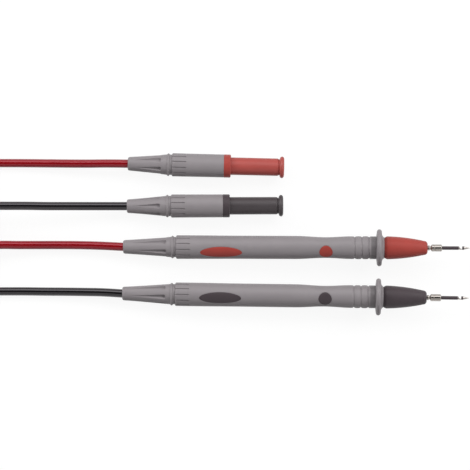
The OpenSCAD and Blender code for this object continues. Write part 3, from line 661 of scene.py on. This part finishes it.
class TESTLEADS_OT_cables(Step):
    """Each lead's cable, from its plug through its coil to its probe"""

    bl_idname = "testleads.cables"
    bl_label = "Cables"

    def make(self, sizes, lead):
        rest = sizes.cable_d / MM / 2
        middle, r_out, turns = COILS[lead]
        plug, probe = PLUGS[lead], PROBES[lead]
        count = math.ceil(turns * COIL_POINTS)
        lifted = [Vector(p) for p in PLUG_ROUTE[lead]]
        lifted += [coil_point(turns * i / count, middle, r_out, turns) for i in range(count + 1)]
        lifted += [Vector(p) for p in PROBE_ROUTE[lead]]
        route = [Vector(plug[:3])] + [p + Vector((0, 0, rest)) for p in lifted] + [Vector(probe[:3])]
        curve = bpy.data.curves.new(f"{lead}_cable", "CURVE")
        curve.dimensions = "3D"
        curve.bevel_depth = sizes.cable_d / 2
        curve.bevel_resolution = 7
        curve.resolution_u = 6
        spline = curve.splines.new("BEZIER")
        spline.bezier_points.add(len(route) - 1)
        for point, place in zip(spline.bezier_points, route):
            point.co = place * MM
            point.handle_left_type = point.handle_right_type = "AUTO"
        piece = bpy.data.objects.new(f"{lead}_cable", curve)
        bpy.context.scene.collection.objects.link(piece)
        curve.materials.append(FINISHES[f"{lead}_cable"]())
        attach(piece, "leads")
        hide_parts(f"{lead}_cable_plug", f"{lead}_cable_coil", f"{lead}_cable_probe")


def boot_r(x, run):
    return BOOT_TAIL_R + (BOOT_FRONT_R - BOOT_TAIL_R) * clamp(x / run) ** BOOT_FLARE


class TESTLEADS_OT_boots(Step):
    """The fluted strain relief boots, with the bead ring in front of each"""

    bl_idname = "testleads.boots"
    bl_label = "Strain relief boots"

    def make(self, sizes, lead):
        self.boot(sizes, f"{lead}_plug", laid(*PLUGS[lead]), *PLUG_BOOT, BOOT_TURN[lead])
        self.boot(sizes, f"{lead}_probe", laid(*PROBES[lead]), *PROBE_BOOT, 0.0)

    def boot(self, sizes, end, place, run, flute_from, flute_gap, turn):
        bead_to = run + BEAD_W
        stop = bead_to + NECK_W
        drop = 0.9 * BOOT_ROUND
        profile = [
            (BOOT_ROUND * (1 - math.cos(a)), BOOT_TAIL_R - drop * (1 - math.sin(a)))
            for a in evenly(0, math.pi / 2, 8)
        ]
        profile += [(x, boot_r(x, run)) for x in evenly(BOOT_ROUND + 0.3, run, 24)]
        profile += [
            (run + BEAD_W * t, BOOT_FRONT_R + (BEAD_R - BOOT_FRONT_R) * math.sin(math.pi * t) ** 0.7)
            for t in evenly(0.04, 0.96, 11)
        ]
        profile += [(bead_to, BOOT_FRONT_R), (stop - 0.03, BOOT_FRONT_R - 0.05), (stop, SPIGOT_R)]
        profile += [(stop + SPIGOT_LEN, SPIGOT_R)]
        radius = along(profile)
        flute_to = run - flute_gap
        wide, deep, nose = sizes.flute_w / MM, sizes.flute_depth / MM, 0.7

        def width(x):
            taper = wide * clamp((x - flute_from) / (flute_to - flute_from))
            end_round = math.sqrt(max(0.0, 1 - clamp((x - flute_to + nose) / nose) ** 2))
            return max(0.16, taper * end_round)

        def outer(x, column):
            if not flute_from < x < flute_to:
                return radius(x)
            ramp = (x - flute_from) / (flute_to - flute_from)
            wall = min(1.0, ((flute_to - x) / 0.35) ** 0.6)
            return radius(x) - deep * ramp * wall * dip(column, 2.8)

        xs = stations(profile, (flute_from, flute_to - 1, 0.4), (flute_to - 1, flute_to + 0.05, 0.1))
        columns = cut_columns(FLUTES, turn, width, radius, INNER, BETWEEN)
        bm = sleeve(xs, columns, outer, lambda x: BORE_R)
        finished(f"{end}_relief", bm, place, "grey_elastomer", "leads", f"{end}_boot")


def grooved(sizes, start, radius):
    """Width and radius functions for the lengthwise grip grooves that begin at start."""
    stop, wide, deep = start + GROOVE_LEN, sizes.groove_w / MM, sizes.groove_depth / MM

    def width(x):
        return max(0.1, wide * math.sqrt(max(0.0, 1 - clamp((x - stop) / (wide / 2)) ** 2)))

    def outer(x, column):
        if x > stop + wide / 2:
            return radius(x)
        depth = deep * min(1.0, max(0.0, stop + wide / 2 - x) / 0.3) ** 0.5
        return radius(x) - depth * dip(column, 4.0)

    return width, outer, (start, start + 0.6, 0.1), (stop - 0.2, stop + wide / 2 + 0.05, 0.06)


class TESTLEADS_OT_plug_bodies(Step):
    """The plugs' grey bodies with their grip grooves, and the coloured collars in front"""

    bl_idname = "testleads.plug_bodies"
    bl_label = "Plug bodies and collars"

    def make(self, sizes, lead):
        place = laid(*PLUGS[lead])
        profile = rounded([
            (BODY_FROM, BODY_R - 0.5, 0), (BODY_FROM + 0.02, BODY_R - 0.45, 0),
            (BODY_FROM + 0.3, BODY_R, 0.35), (BODY_TO - 0.12, BODY_R - 0.05, 0.1),
            (BODY_TO, BODY_R - 0.15, 0),
        ])
        radius = along(profile)
        width, outer, *runs = grooved(sizes, BODY_FROM, radius)
        bore = lambda x: SPIGOT_BORE_R if x < CAVITY_FROM else CAVITY_R
        runs += [(CAVITY_FROM - 0.02, CAVITY_FROM, 0.02), (BODY_FROM + 7, BODY_TO - 1, 1.5)]
        xs = stations(profile, *runs)
        columns = cut_columns(GROOVES, GROOVE_TURN, width, radius, INNER, BETWEEN)
        bm = sleeve(xs, columns, outer, bore)
        finished(f"{lead}_plug_shell", bm, place, "grey_elastomer", "leads", f"{lead}_plug_body")

        slide = SHEATH_R + 0.06
        outline = rounded([
            (STOP_AT, slide, 0), (STOP_AT, CAVITY_R - 0.05, 0), (BODY_TO, CAVITY_R - 0.05, 0),
            (BODY_TO, BODY_R - 0.12, 0), (BODY_TO + 0.14, BODY_R, 0.12),
            (COLLAR_TO - 0.1, BODY_R - 0.02, 0.5), (COLLAR_TO, BODY_R - 0.75, 0.35),
            (COLLAR_TO, slide + 0.12, 0.1), (COLLAR_TO - 0.12, slide, 0),
        ])
        bm = turned(outline, sizes.around)
        finished(f"{lead}_plug_ring", bm, place, f"{lead}_plastic", "leads", f"{lead}_plug_collar")


class TESTLEADS_OT_sheaths(Step):
    """The retractable sheaths with their end flange and stop lip, and the springs behind them"""

    bl_idname = "testleads.sheaths"
    bl_label = "Sheaths and springs"

    def make(self, sizes, lead):
        place = laid(*PLUGS[lead])
        outline = rounded([
            (LIP_FROM, SHEATH_BORE_R, 0), (LIP_FROM, LIP_R, 0.15), (LIP_TO, LIP_R, 0.1),
            (LIP_TO, SHEATH_R, 0), (COLLAR_TO, SHEATH_R, 0),
            (NECK_FROM - 0.35, SHEATH_R - 0.03, 0.25), (NECK_FROM, NECK_R, 0.15),
            (FLANGE_FROM - 0.05, NECK_R, 0.15), (FLANGE_FROM + 0.1, FLANGE_R - 0.45, 0.45),
            (FLANGE_FROM + 0.75, FLANGE_R, 0.5), (FLANGE_FROM + 1.3, FLANGE_R, 0.4),
            (SHEATH_TO - 0.1, FLANGE_R - 0.5, 0.5), (SHEATH_TO, SHEATH_BORE_R + 0.8, 0.3),
            (SHEATH_TO, SHEATH_BORE_R + 0.35, 0.2), (SHEATH_TO - 0.35, SHEATH_BORE_R, 0),
        ])
        bm, slot = turned(outline, sizes.around), f"{lead}_sheath_plastic"
        finished(f"{lead}_sheath_tube", bm, place, slot, f"{lead}_sheath", f"{lead}_plug_sheath")

        # half a turn at each end lies flat, and the turns between them rise
        points = []
        for turns in evenly(0, SPRING_TURNS, SPRING_TURNS * 32):
            x = lerp(SPRING_FROM, SPRING_TO, clamp((turns - 0.5) / (SPRING_TURNS - 1)))
            a = 2 * math.pi * turns
            points.append(Vector((x, SPRING_R * math.cos(a), SPRING_R * math.sin(a))))
        bm = swept(points, sizes.spring_d / MM / 2, 10)
        spring = finished(f"{lead}_coil_spring", bm, place, "spring_steel", "leads", f"{lead}_plug_spring")
        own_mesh(spring)


def grip_profile():
    """The grip's outline: rounded rear, long taper, waist, and two ribs between three ring grooves."""
    made = rounded([
        (GRIP_FROM, GRIP_R - 0.5, 0), (GRIP_FROM + 0.02, GRIP_R - 0.45, 0), (GRIP_FROM + 0.3, GRIP_R, 0.35),
        (GRIP_FROM + 10.5, GRIP_R, 4), (GRIP_FROM + 26, GRIP_MID_R, 4),
        (WAIST_AT - WAIST_IN, GRIP_MID_R, 0),
    ])
    for start, stop, r0, r1 in (
        (WAIST_AT - WAIST_IN, WAIST_AT, GRIP_MID_R, WAIST_R), (WAIST_AT, RIBS_FROM, WAIST_R, FRONT_R),
    ):
        made += [
            (lerp(start, stop, t), lerp(r0, r1, (1 - math.cos(math.pi * t)) / 2))
            for t in evenly(0.05, 1, 19)
        ]
    for k in range(RINGS, 0, -1):
        middle = GRIP_TO - k * RING_PITCH
        made += [
            (middle + RING_W / 2 * t, lerp(FRONT_R, RING_GROOVE_R, (1 + math.cos(math.pi * t)) / 2))
            for t in evenly(-1, 1, 12)
        ]
        rest = RING_PITCH - RING_W
        made += [
            (middle + RING_W / 2 + rest * t, FRONT_R + RIB_CROWN * math.sin(math.pi * t))
            for t in evenly(0.15, 0.85, 6) if k > 1
        ]
    return made + [(GRIP_TO - 0.1, FRONT_R), (GRIP_TO, FRONT_R - 0.1)]


# the grip's windows: middle, half length and half width
WINDOWS = ((OVAL_AT, OVAL_LEN / 2, OVAL_W / 2), (WAIST_AT, DOT_D / 2, DOT_D / 2))
WINDOW_COLUMNS, WINDOW_STEPS, PAST_END, RIM_DIP = 12, 36, 0.08, 0.06
SLIVER, STRIP, LIP_W = 0.02, 1.5, 0.12


def window_at(x):
    """Half the width of the window at x, or None where there is none."""
    for middle, half_len, half_w in WINDOWS:
        u = abs(x - middle) / half_len
        if u <= 1:
            return max(SLIVER, half_w * math.sqrt(1 - u * u))
    return None


def windowed(x, r, count):
    """The angles of count columns at x: a fan across the window, or across a strip between the windows,
    with a lip on each side, and then the rest of the ring."""
    apart = min(abs(x - middle) - half_len for middle, half_len, _ in WINDOWS)
    half = window_at(x) or clamp(apart, SLIVER, STRIP)
    lip = LIP_W / r
    edge = math.asin(half / r)
    fan = [-edge - lip] + evenly(-edge, edge, WINDOW_COLUMNS) + [edge + lip]
    left = count - len(fan)
    return fan + [lerp(fan[-1], fan[0] + 2 * math.pi, n / (left + 1)) for n in range(1, left + 1)]


def window_stations(middle, half_len):
    """Places along a window, closer together towards its round ends, and one just past each end, which
    keeps the rim's dip from spreading into the skin."""
    inside = [middle - half_len * math.cos(a) for a in evenly(0.0, math.pi, WINDOW_STEPS)]
    return [inside[0] - PAST_END, *inside, inside[-1] + PAST_END]


class TESTLEADS_OT_grips(Step):
    """The soft grips with their grooves, waist, ribs and two windows, and the coloured cores behind them"""

    bl_idname = "testleads.grips"
    bl_label = "Grips and cores"

    def make(self, sizes, lead):
        place = laid(*PROBES[lead])
        profile = grip_profile()
        radius = along(profile)
        width, grooved_r, *runs = grooved(sizes, GRIP_FROM, radius)
        grooves = cut_columns(GROOVES, GROOVE_TURN, width, radius, INNER, BETWEEN)
        smooth_from, fan_by = GRIP_FROM + GROOVE_LEN + 1, OVAL_AT - OVAL_LEN / 2 - 0.5

        def angles(x):
            plain = grooves(x)
            t = ease((x - smooth_from) / (fan_by - smooth_from))
            return [lerp(a, b, t) for a, b in zip(plain, windowed(x, radius(x), len(plain)))]

        xs = stations(profile, *runs, (GRIP_FROM + 7, RIBS_FROM, 1.4))
        for middle, half_len, _ in WINDOWS:
            xs = [x for x in xs if abs(x - middle) > half_len + 2 * PAST_END]
            xs += window_stations(middle, half_len)
        xs.sort()

        def window(i, j):
            inside = 0 <= i < len(xs) - 1 and 1 <= j <= WINDOW_COLUMNS
            return inside and bool(window_at((xs[i] + xs[i + 1]) / 2))

        def outer(x, column):
            if x <= smooth_from:
                return grooved_r(x, column)
            on_rim = column in (1, WINDOW_COLUMNS + 1) and window_at(x)
            return radius(x) - (RIM_DIP if on_rim else 0)

        bm = sleeve(xs, angles, outer, lambda x: CORE_R + GAP, window)
        finished(f"{lead}_grip_skin", bm, place, "grey_elastomer", "leads", f"{lead}_probe_grip")

        spigot_floor = GRIP_FROM + SPIGOT_LEN
        bm = turned([
            (GRIP_FROM, SPIGOT_BORE_R), (GRIP_FROM, CORE_R), (GRIP_TO, CORE_R), (GRIP_TO, GUARD_SEAT_R),
            (GUARD_TO, GUARD_SEAT_R), (GUARD_TO, NOSE_SEAT_R), (SPIGOT_TO - 0.3, NOSE_SEAT_R),
            (SPIGOT_TO, NOSE_SEAT_R - 0.3), (SPIGOT_TO, ROD_BORE_R), (ROD_BORE_FROM, ROD_BORE_R),
            (ROD_BORE_FROM, CORE_BORE_R), (spigot_floor, CORE_BORE_R), (spigot_floor, SPIGOT_BORE_R),
        ], sizes.around)
        for middle, half_len, half_w in WINDOWS:
            self.pad(bm, middle, half_len, half_w, sizes.seam / MM, radius)
        finished(f"{lead}_core_windows", bm, place, f"{lead}_plastic", "leads", f"{lead}_probe_core")

    def pad(self, bm, middle, half_len, half_w, gap, radius):
        """One coloured pad that fills a window flush, its edges softly rounded. The round one is dished."""
        dish, foot_r = (DOT_DISH if half_len == half_w else 0.0), CORE_R - 0.2
        tops, feet = [], []
        across = [-1.0, -0.97, -0.9] + evenly(-0.75, 0.75, 8) + [0.9, 0.97, 1.0]
        for a in evenly(0.0, math.pi, WINDOW_STEPS):
            x = middle - (half_len - gap) * math.cos(a)
            half = max(0.015, (half_w - gap) * math.sin(a))
            r = radius(x)
            top, foot = [], []
            for u in across:
                place = math.asin(clamp(half * u / r, -0.95, 0.95))
                rim = max(abs(u) ** 8, abs(math.cos(a)) ** 24)
                hollow = dish * (1 - math.cos(a) ** 2 - (u * math.sin(a)) ** 2)
                top.append(bm.verts.new(round_axis(x, r - 0.01 - 0.1 * rim**3 - hollow, place)))
                foot.append(bm.verts.new(round_axis(x, foot_r, place)))
            tops.append(top)
            feet.append(foot)
        last = len(across) - 1
        for i in range(len(tops) - 1):
            for j in range(last):
                bm.faces.new([tops[i][j], tops[i][j + 1], tops[i + 1][j + 1], tops[i + 1][j]])
                bm.faces.new([feet[i][j], feet[i + 1][j], feet[i + 1][j + 1], feet[i][j + 1]])
            for j in (0, last):
                bm.faces.new([tops[i][j], tops[i + 1][j], feet[i + 1][j], feet[i][j]])
        for i in (0, len(tops) - 1):
            for j in range(last):
                bm.faces.new([tops[i][j], tops[i][j + 1], feet[i][j + 1], feet[i][j]])


class TESTLEADS_OT_guards(Step):
    """The finger guards: a thin rounded rim that flares down to the grip"""

    bl_idname = "testleads.guards"
    bl_label = "Finger guards"

    def make(self, sizes, lead):
        root, seat = GRIP_TO + GAP, GUARD_SEAT_R + GAP
        half = GUARD_RIM / 2
        low = GUARD_R - half
        outline = [(root, seat), (root, FRONT_R - 0.1)]
        back, rim, front = evenly(0.05, 0.95, 9), evenly(0.1, math.pi - 0.1, 20), evenly(0.05, 1, 14)
        outline += [(lerp(root, GUARD_MID - half, t**1.4), lerp(FRONT_R, low, t)) for t in back]
        outline += [(GUARD_MID - half * math.cos(a), low + half * math.sin(a)) for a in rim]
        outline += [(lerp(GUARD_MID + half, GUARD_TO, t**3), lerp(low, NOSE_REAR_R, t)) for t in front]
        outline += [(GUARD_TO, seat)]
        bm, place = turned(outline, sizes.around), laid(*PROBES[lead])
        finished(f"{lead}_finger_guard", bm, place, "grey_elastomer", "leads", f"{lead}_probe_guard")


class TESTLEADS_OT_noses(Step):
    """The coloured nose cones, barrelled towards a rounded front"""

    bl_idname = "testleads.noses"
    bl_label = "Nose cones"

    def make(self, sizes, lead):
        start, full, front = GUARD_TO + GAP, GUARD_TO + 1.25, NOSE_TO - NOSE_ROUND
        rod_stop, spigot_stop, seat = ROD_TO + GAP, SPIGOT_TO + GAP, NOSE_SEAT_R + GAP
        outline = [
            (start, seat, 0), (start, NOSE_REAR_R - 0.05, 0.1), (full - 0.45, NOSE_R - 0.2, 0.15),
            (full, NOSE_R, 0.3),
        ]
        outline += [
            (lerp(full + 0.3, front, t), lerp(NOSE_R, NOSE_TIP_R, 0.2 * t + 0.8 * t * t), 0)
            for t in evenly(0.02, 1, 18)
        ]
        outline += [
            (front + NOSE_ROUND * math.sin(a), NOSE_TIP_R - NOSE_ROUND * (1 - math.cos(a)), 0)
            for a in evenly(0.15, math.pi / 2, 9)
        ]
        outline += [
            (NOSE_TO, NOSE_MOUTH_R + 0.1, 0), (NOSE_TO - 0.2, NOSE_MOUTH_R, 0), (rod_stop, NOSE_MOUTH_R, 0),
            (rod_stop, ROD_BORE_R, 0), (spigot_stop, ROD_BORE_R, 0), (spigot_stop, seat, 0),
        ]
        bm, place = turned(rounded(outline), sizes.around), laid(*PROBES[lead])
        finished(f"{lead}_nose_cone", bm, place, f"{lead}_plastic", "leads", f"{lead}_probe_nose")


class TESTLEADS_OT_needles(Step):
    """The plated needles: ringed neck, barrel, shaft with a hook notch, and point"""

    bl_idname = "testleads.needles"
    bl_label = "Needles"

    def make(self, sizes, lead):
        place = laid(*PROBES[lead][:5], 0.0)
        ring_at, groove_r = NECK_TO + 1.55, BARREL_R - BARREL_RING
        outline = rounded([
            (SHANK_FROM, 0, 0), (SHANK_FROM, NEEDLE_SHANK_R - 0.15, 0),
            (SHANK_FROM + 0.2, NEEDLE_SHANK_R, 0), (NOSE_TO + 0.1, NEEDLE_SHANK_R, 0),
            (NOSE_TO + 0.35, NECK_RING_R, 0.12), (NOSE_TO + 0.85, NECK_RING_R, 0.12),
            (NOSE_TO + 1.1, NEEDLE_SHANK_R, 0.1), (NECK_TO - 0.1, NEEDLE_SHANK_R, 0.1),
            (NECK_TO, 1.2, 0.1), (NECK_TO + 0.3, BARREL_R, 0.12),
            (ring_at, BARREL_R, 0.03), (ring_at + 0.08, groove_r, 0.03), (ring_at + 0.2, groove_r, 0.03),
            (ring_at + 0.28, BARREL_R, 0.03), (BARREL_TO - 0.35, BARREL_R, 0.1),
            (BARREL_TO - 0.05, BARREL_R - 0.4, 0.08), (BARREL_TO, 1.0, 0.1),
            (BARREL_TO + 0.2, SHAFT_R - 0.06, 0),
        ], 3)
        bare, tip_from = SHAFT_R - 0.04, POINT_FROM + 0.12
        halfway = lerp(NOTCH_FROM, NOTCH_DEEP, 0.5)
        rings = (SLEEVE_TO, NOTCH_FROM, halfway, NOTCH_DEEP, NOTCH_FLOOR_TO, NOTCH_TO, POINT_FROM - 0.08)
        outline += [(SLEEVE_TO - 0.05, SHAFT_R - 0.06)] + [(x, bare) for x in rings]
        outline += [
            (lerp(tip_from, NEEDLE_TO - 0.06, t), lerp(bare - 0.06, 0.06, t)) for t in (0, 0.35, 0.7, 1)
        ]
        outline += [(NEEDLE_TO, 0)]
        bm = turned(outline, sizes.around, closed=False)
        notch = along([
            (NOTCH_FROM, bare), (NOTCH_DEEP, NOTCH_FLOOR), (NOTCH_FLOOR_TO, NOTCH_FLOOR), (NOTCH_TO, bare),
        ])
        for v in bm.verts:
            if NOTCH_FROM <= v.co.x <= NOTCH_TO and v.co.y > notch(v.co.x):
                low = notch(v.co.x)
                chord = math.sqrt(max(0.0, bare * bare - low * low))
                v.co.z *= chord / bare if low < 0 else min(1.0, chord / max(abs(v.co.z), 1e-6))
                v.co.y = low
        finished(f"{lead}_needle", bm, place, "nickel_plate", "leads", f"{lead}_probe_needle")

        # the dark sleeve on the shaft, and its short ring in front of the notch
        bm = turned(rounded([
            (BARREL_TO + 0.17, SHAFT_R - 0.05, 0), (BARREL_TO + 0.2, SHAFT_R, 0),
            (SLEEVE_TO - 0.1, SHAFT_R, 0.05), (SLEEVE_TO, SHAFT_R - 0.05, 0),
        ]), sizes.around)
        turned(rounded([
            (NOTCH_TO + 0.03, SHAFT_R - 0.03, 0), (NOTCH_TO + 0.06, SHAFT_R, 0),
            (POINT_FROM - 0.15, SHAFT_R, 0.05), (POINT_FROM - 0.05, SHAFT_R - 0.03, 0),
        ]), sizes.around, bm)
        finished(f"{lead}_needle_sleeve", bm, place, "black_plastic", "leads")


class TESTLEADS_OT_contacts(Step):
    """The metal and cable inside: pins, lantern springs, rods, conductors and jackets keep their solids"""

    bl_idname = "testleads.contacts"
    bl_label = "Inner contacts"

    def make(self, sizes, lead):
        shown = {row["node"]: row["material_slot"] for row in frame["record"]["subparts"]}
        for node, slot in shown.items():
            piece = frame["nodes"][node]
            if not node.startswith(lead) or piece.hide_render:
                continue
            piece.data.materials.clear()
            piece.data.materials.append(FINISHES[slot]())


class TESTLEADS_OT_stage(bpy.types.Operator):
    """White table, four softboxes, the even light of the room, and the camera over the leads"""

    bl_idname = "testleads.stage"
    bl_label = "Stage"

    def execute(self, context):
        studio = context.scene.lead_studio
        middle = Vector(VIEW_MIDDLE) * MM

        data = bpy.data.cameras.new("camera")
        data.lens, data.sensor_width = studio.lens, 36.0
        camera = bpy.data.objects.new("camera", data)
        context.scene.collection.objects.link(camera)
        height = studio.view_w * studio.lens / data.sensor_width
        camera.location = middle + Vector((0, 0, height))
        data.clip_start, data.clip_end = 0.01, 20
        context.scene.camera = camera

        # a round table whose edge bends up into a wall
        flat, bend, wall_top = 4500.0, 1500.0, 4000.0
        outline = [(0.0, r) for r in (0.0, 400.0, 1500.0, 3000.0)]
        outline += [
            (bend * (1 - math.cos(a)), flat + bend * math.sin(a)) for a in evenly(0, math.pi / 2, 16)
        ]
        outline += [(wall_top, flat + bend)]
        bm = turned(outline, 96, closed=False)
        mesh = bpy.data.meshes.new("cove")
        bm.to_mesh(mesh)
        bm.free()
        mesh.transform(Matrix.Scale(MM, 4) @ Matrix.Rotation(math.radians(-90), 4, "Y"))
        mesh.shade_smooth()
        cove = bpy.data.objects.new("cove", mesh)
        context.scene.collection.objects.link(cove)
        cove.visible_diffuse = False
        # matt opal acrylic lit from below: nearly all of its white is its own light, so shadows stay faint
        white = colours().floor
        made, tree, body, where = material(
            "matt_opal_acrylic", {"IOR": 1.49, "Emission Color": white, "Emission Strength": studio.glow}
        )
        made.cycles.emission_sampling = "NONE"
        tint = shade(white, TABLE_SHARE)
        mottled(tree, body, where, tint, patch_mm=40, spread=0.01, rough=0.7, grain_mm=0.5, height_mm=0.002)
        mesh.materials.append(made)
        cove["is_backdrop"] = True

        for name, way, power, size in (
            ("far_softbox", (0.0, 0.71, 0.71), studio.key, (2.4, 0.5)),
            ("near_softbox", (0.0, -0.57, 0.82), studio.fill, (2.4, 0.4)),
            ("left_softbox", (-0.85, 0.4, 0.36), studio.sides, (0.6, 0.6)),
            ("right_softbox", (0.76, 0.25, 0.6), studio.sides, (0.6, 0.6)),
        ):
            light = bpy.data.lights.new(name, "AREA")
            light.shape, light.size, light.size_y, light.energy = "RECTANGLE", *size, power
            box = bpy.data.objects.new(name, light)
            context.scene.collection.objects.link(box)
            out = Vector(way).normalized()
            box.location = middle + out
            box.rotation_euler = out.to_track_quat("Z", "Y").to_euler()
            box.visible_camera = False

        world = bpy.data.worlds.new("room")
        context.scene.world = world
        world.use_nodes = True
        world.node_tree.nodes["Background"].inputs["Color"].default_value = (1, 1, 1, 1)
        world.node_tree.nodes["Background"].inputs["Strength"].default_value = studio.sky
        context.scene.view_settings.view_transform = "Standard"
        return {"FINISHED"}


STEPS = (
    TESTLEADS_OT_stage,
    TESTLEADS_OT_cables,
    TESTLEADS_OT_boots,
    TESTLEADS_OT_plug_bodies,
    TESTLEADS_OT_sheaths,
    TESTLEADS_OT_grips,
    TESTLEADS_OT_guards,
    TESTLEADS_OT_noses,
    TESTLEADS_OT_needles,
    TESTLEADS_OT_contacts,
)


class TESTLEADS_PT_panel(bpy.types.Panel):
    """Lists the steps, sizes and colours."""

    bl_label = "Test leads"
    bl_idname = "TESTLEADS_PT_panel"
    bl_space_type = "VIEW_3D"
    bl_region_type = "UI"
    bl_category = "Test leads"

    def draw(self, context):
        for step in STEPS:
            self.layout.operator(step.bl_idname)
        for group in (context.scene.lead_sizes, context.scene.lead_colours, context.scene.lead_studio):
            box = self.layout.box()
            for name in group.__annotations__:
                box.prop(group, name)


GROUPS = {"lead_sizes": LeadSizes, "lead_colours": LeadColours, "lead_studio": Studio}
CLASSES = (*GROUPS.values(), *STEPS, TESTLEADS_PT_panel)


def register():
    for kind in CLASSES:
        bpy.utils.register_class(kind)
    for name, kind in GROUPS.items():
        setattr(bpy.types.Scene, name, PointerProperty(type=kind))


def unregister():
    for name in GROUPS:
        delattr(bpy.types.Scene, name)
    for kind in reversed(CLASSES):
        bpy.utils.unregister_class(kind)


def main():
    register()
    for step in STEPS:
        group, name = step.bl_idname.split(".")
        getattr(getattr(bpy.ops, group), name)()
    boxes = {"cad": FRAME_BOX, "visual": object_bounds()}
    {k: [list(corner) for corner in box] for k, box in boxes.items()}


if __name__ == "__main__":
    main()
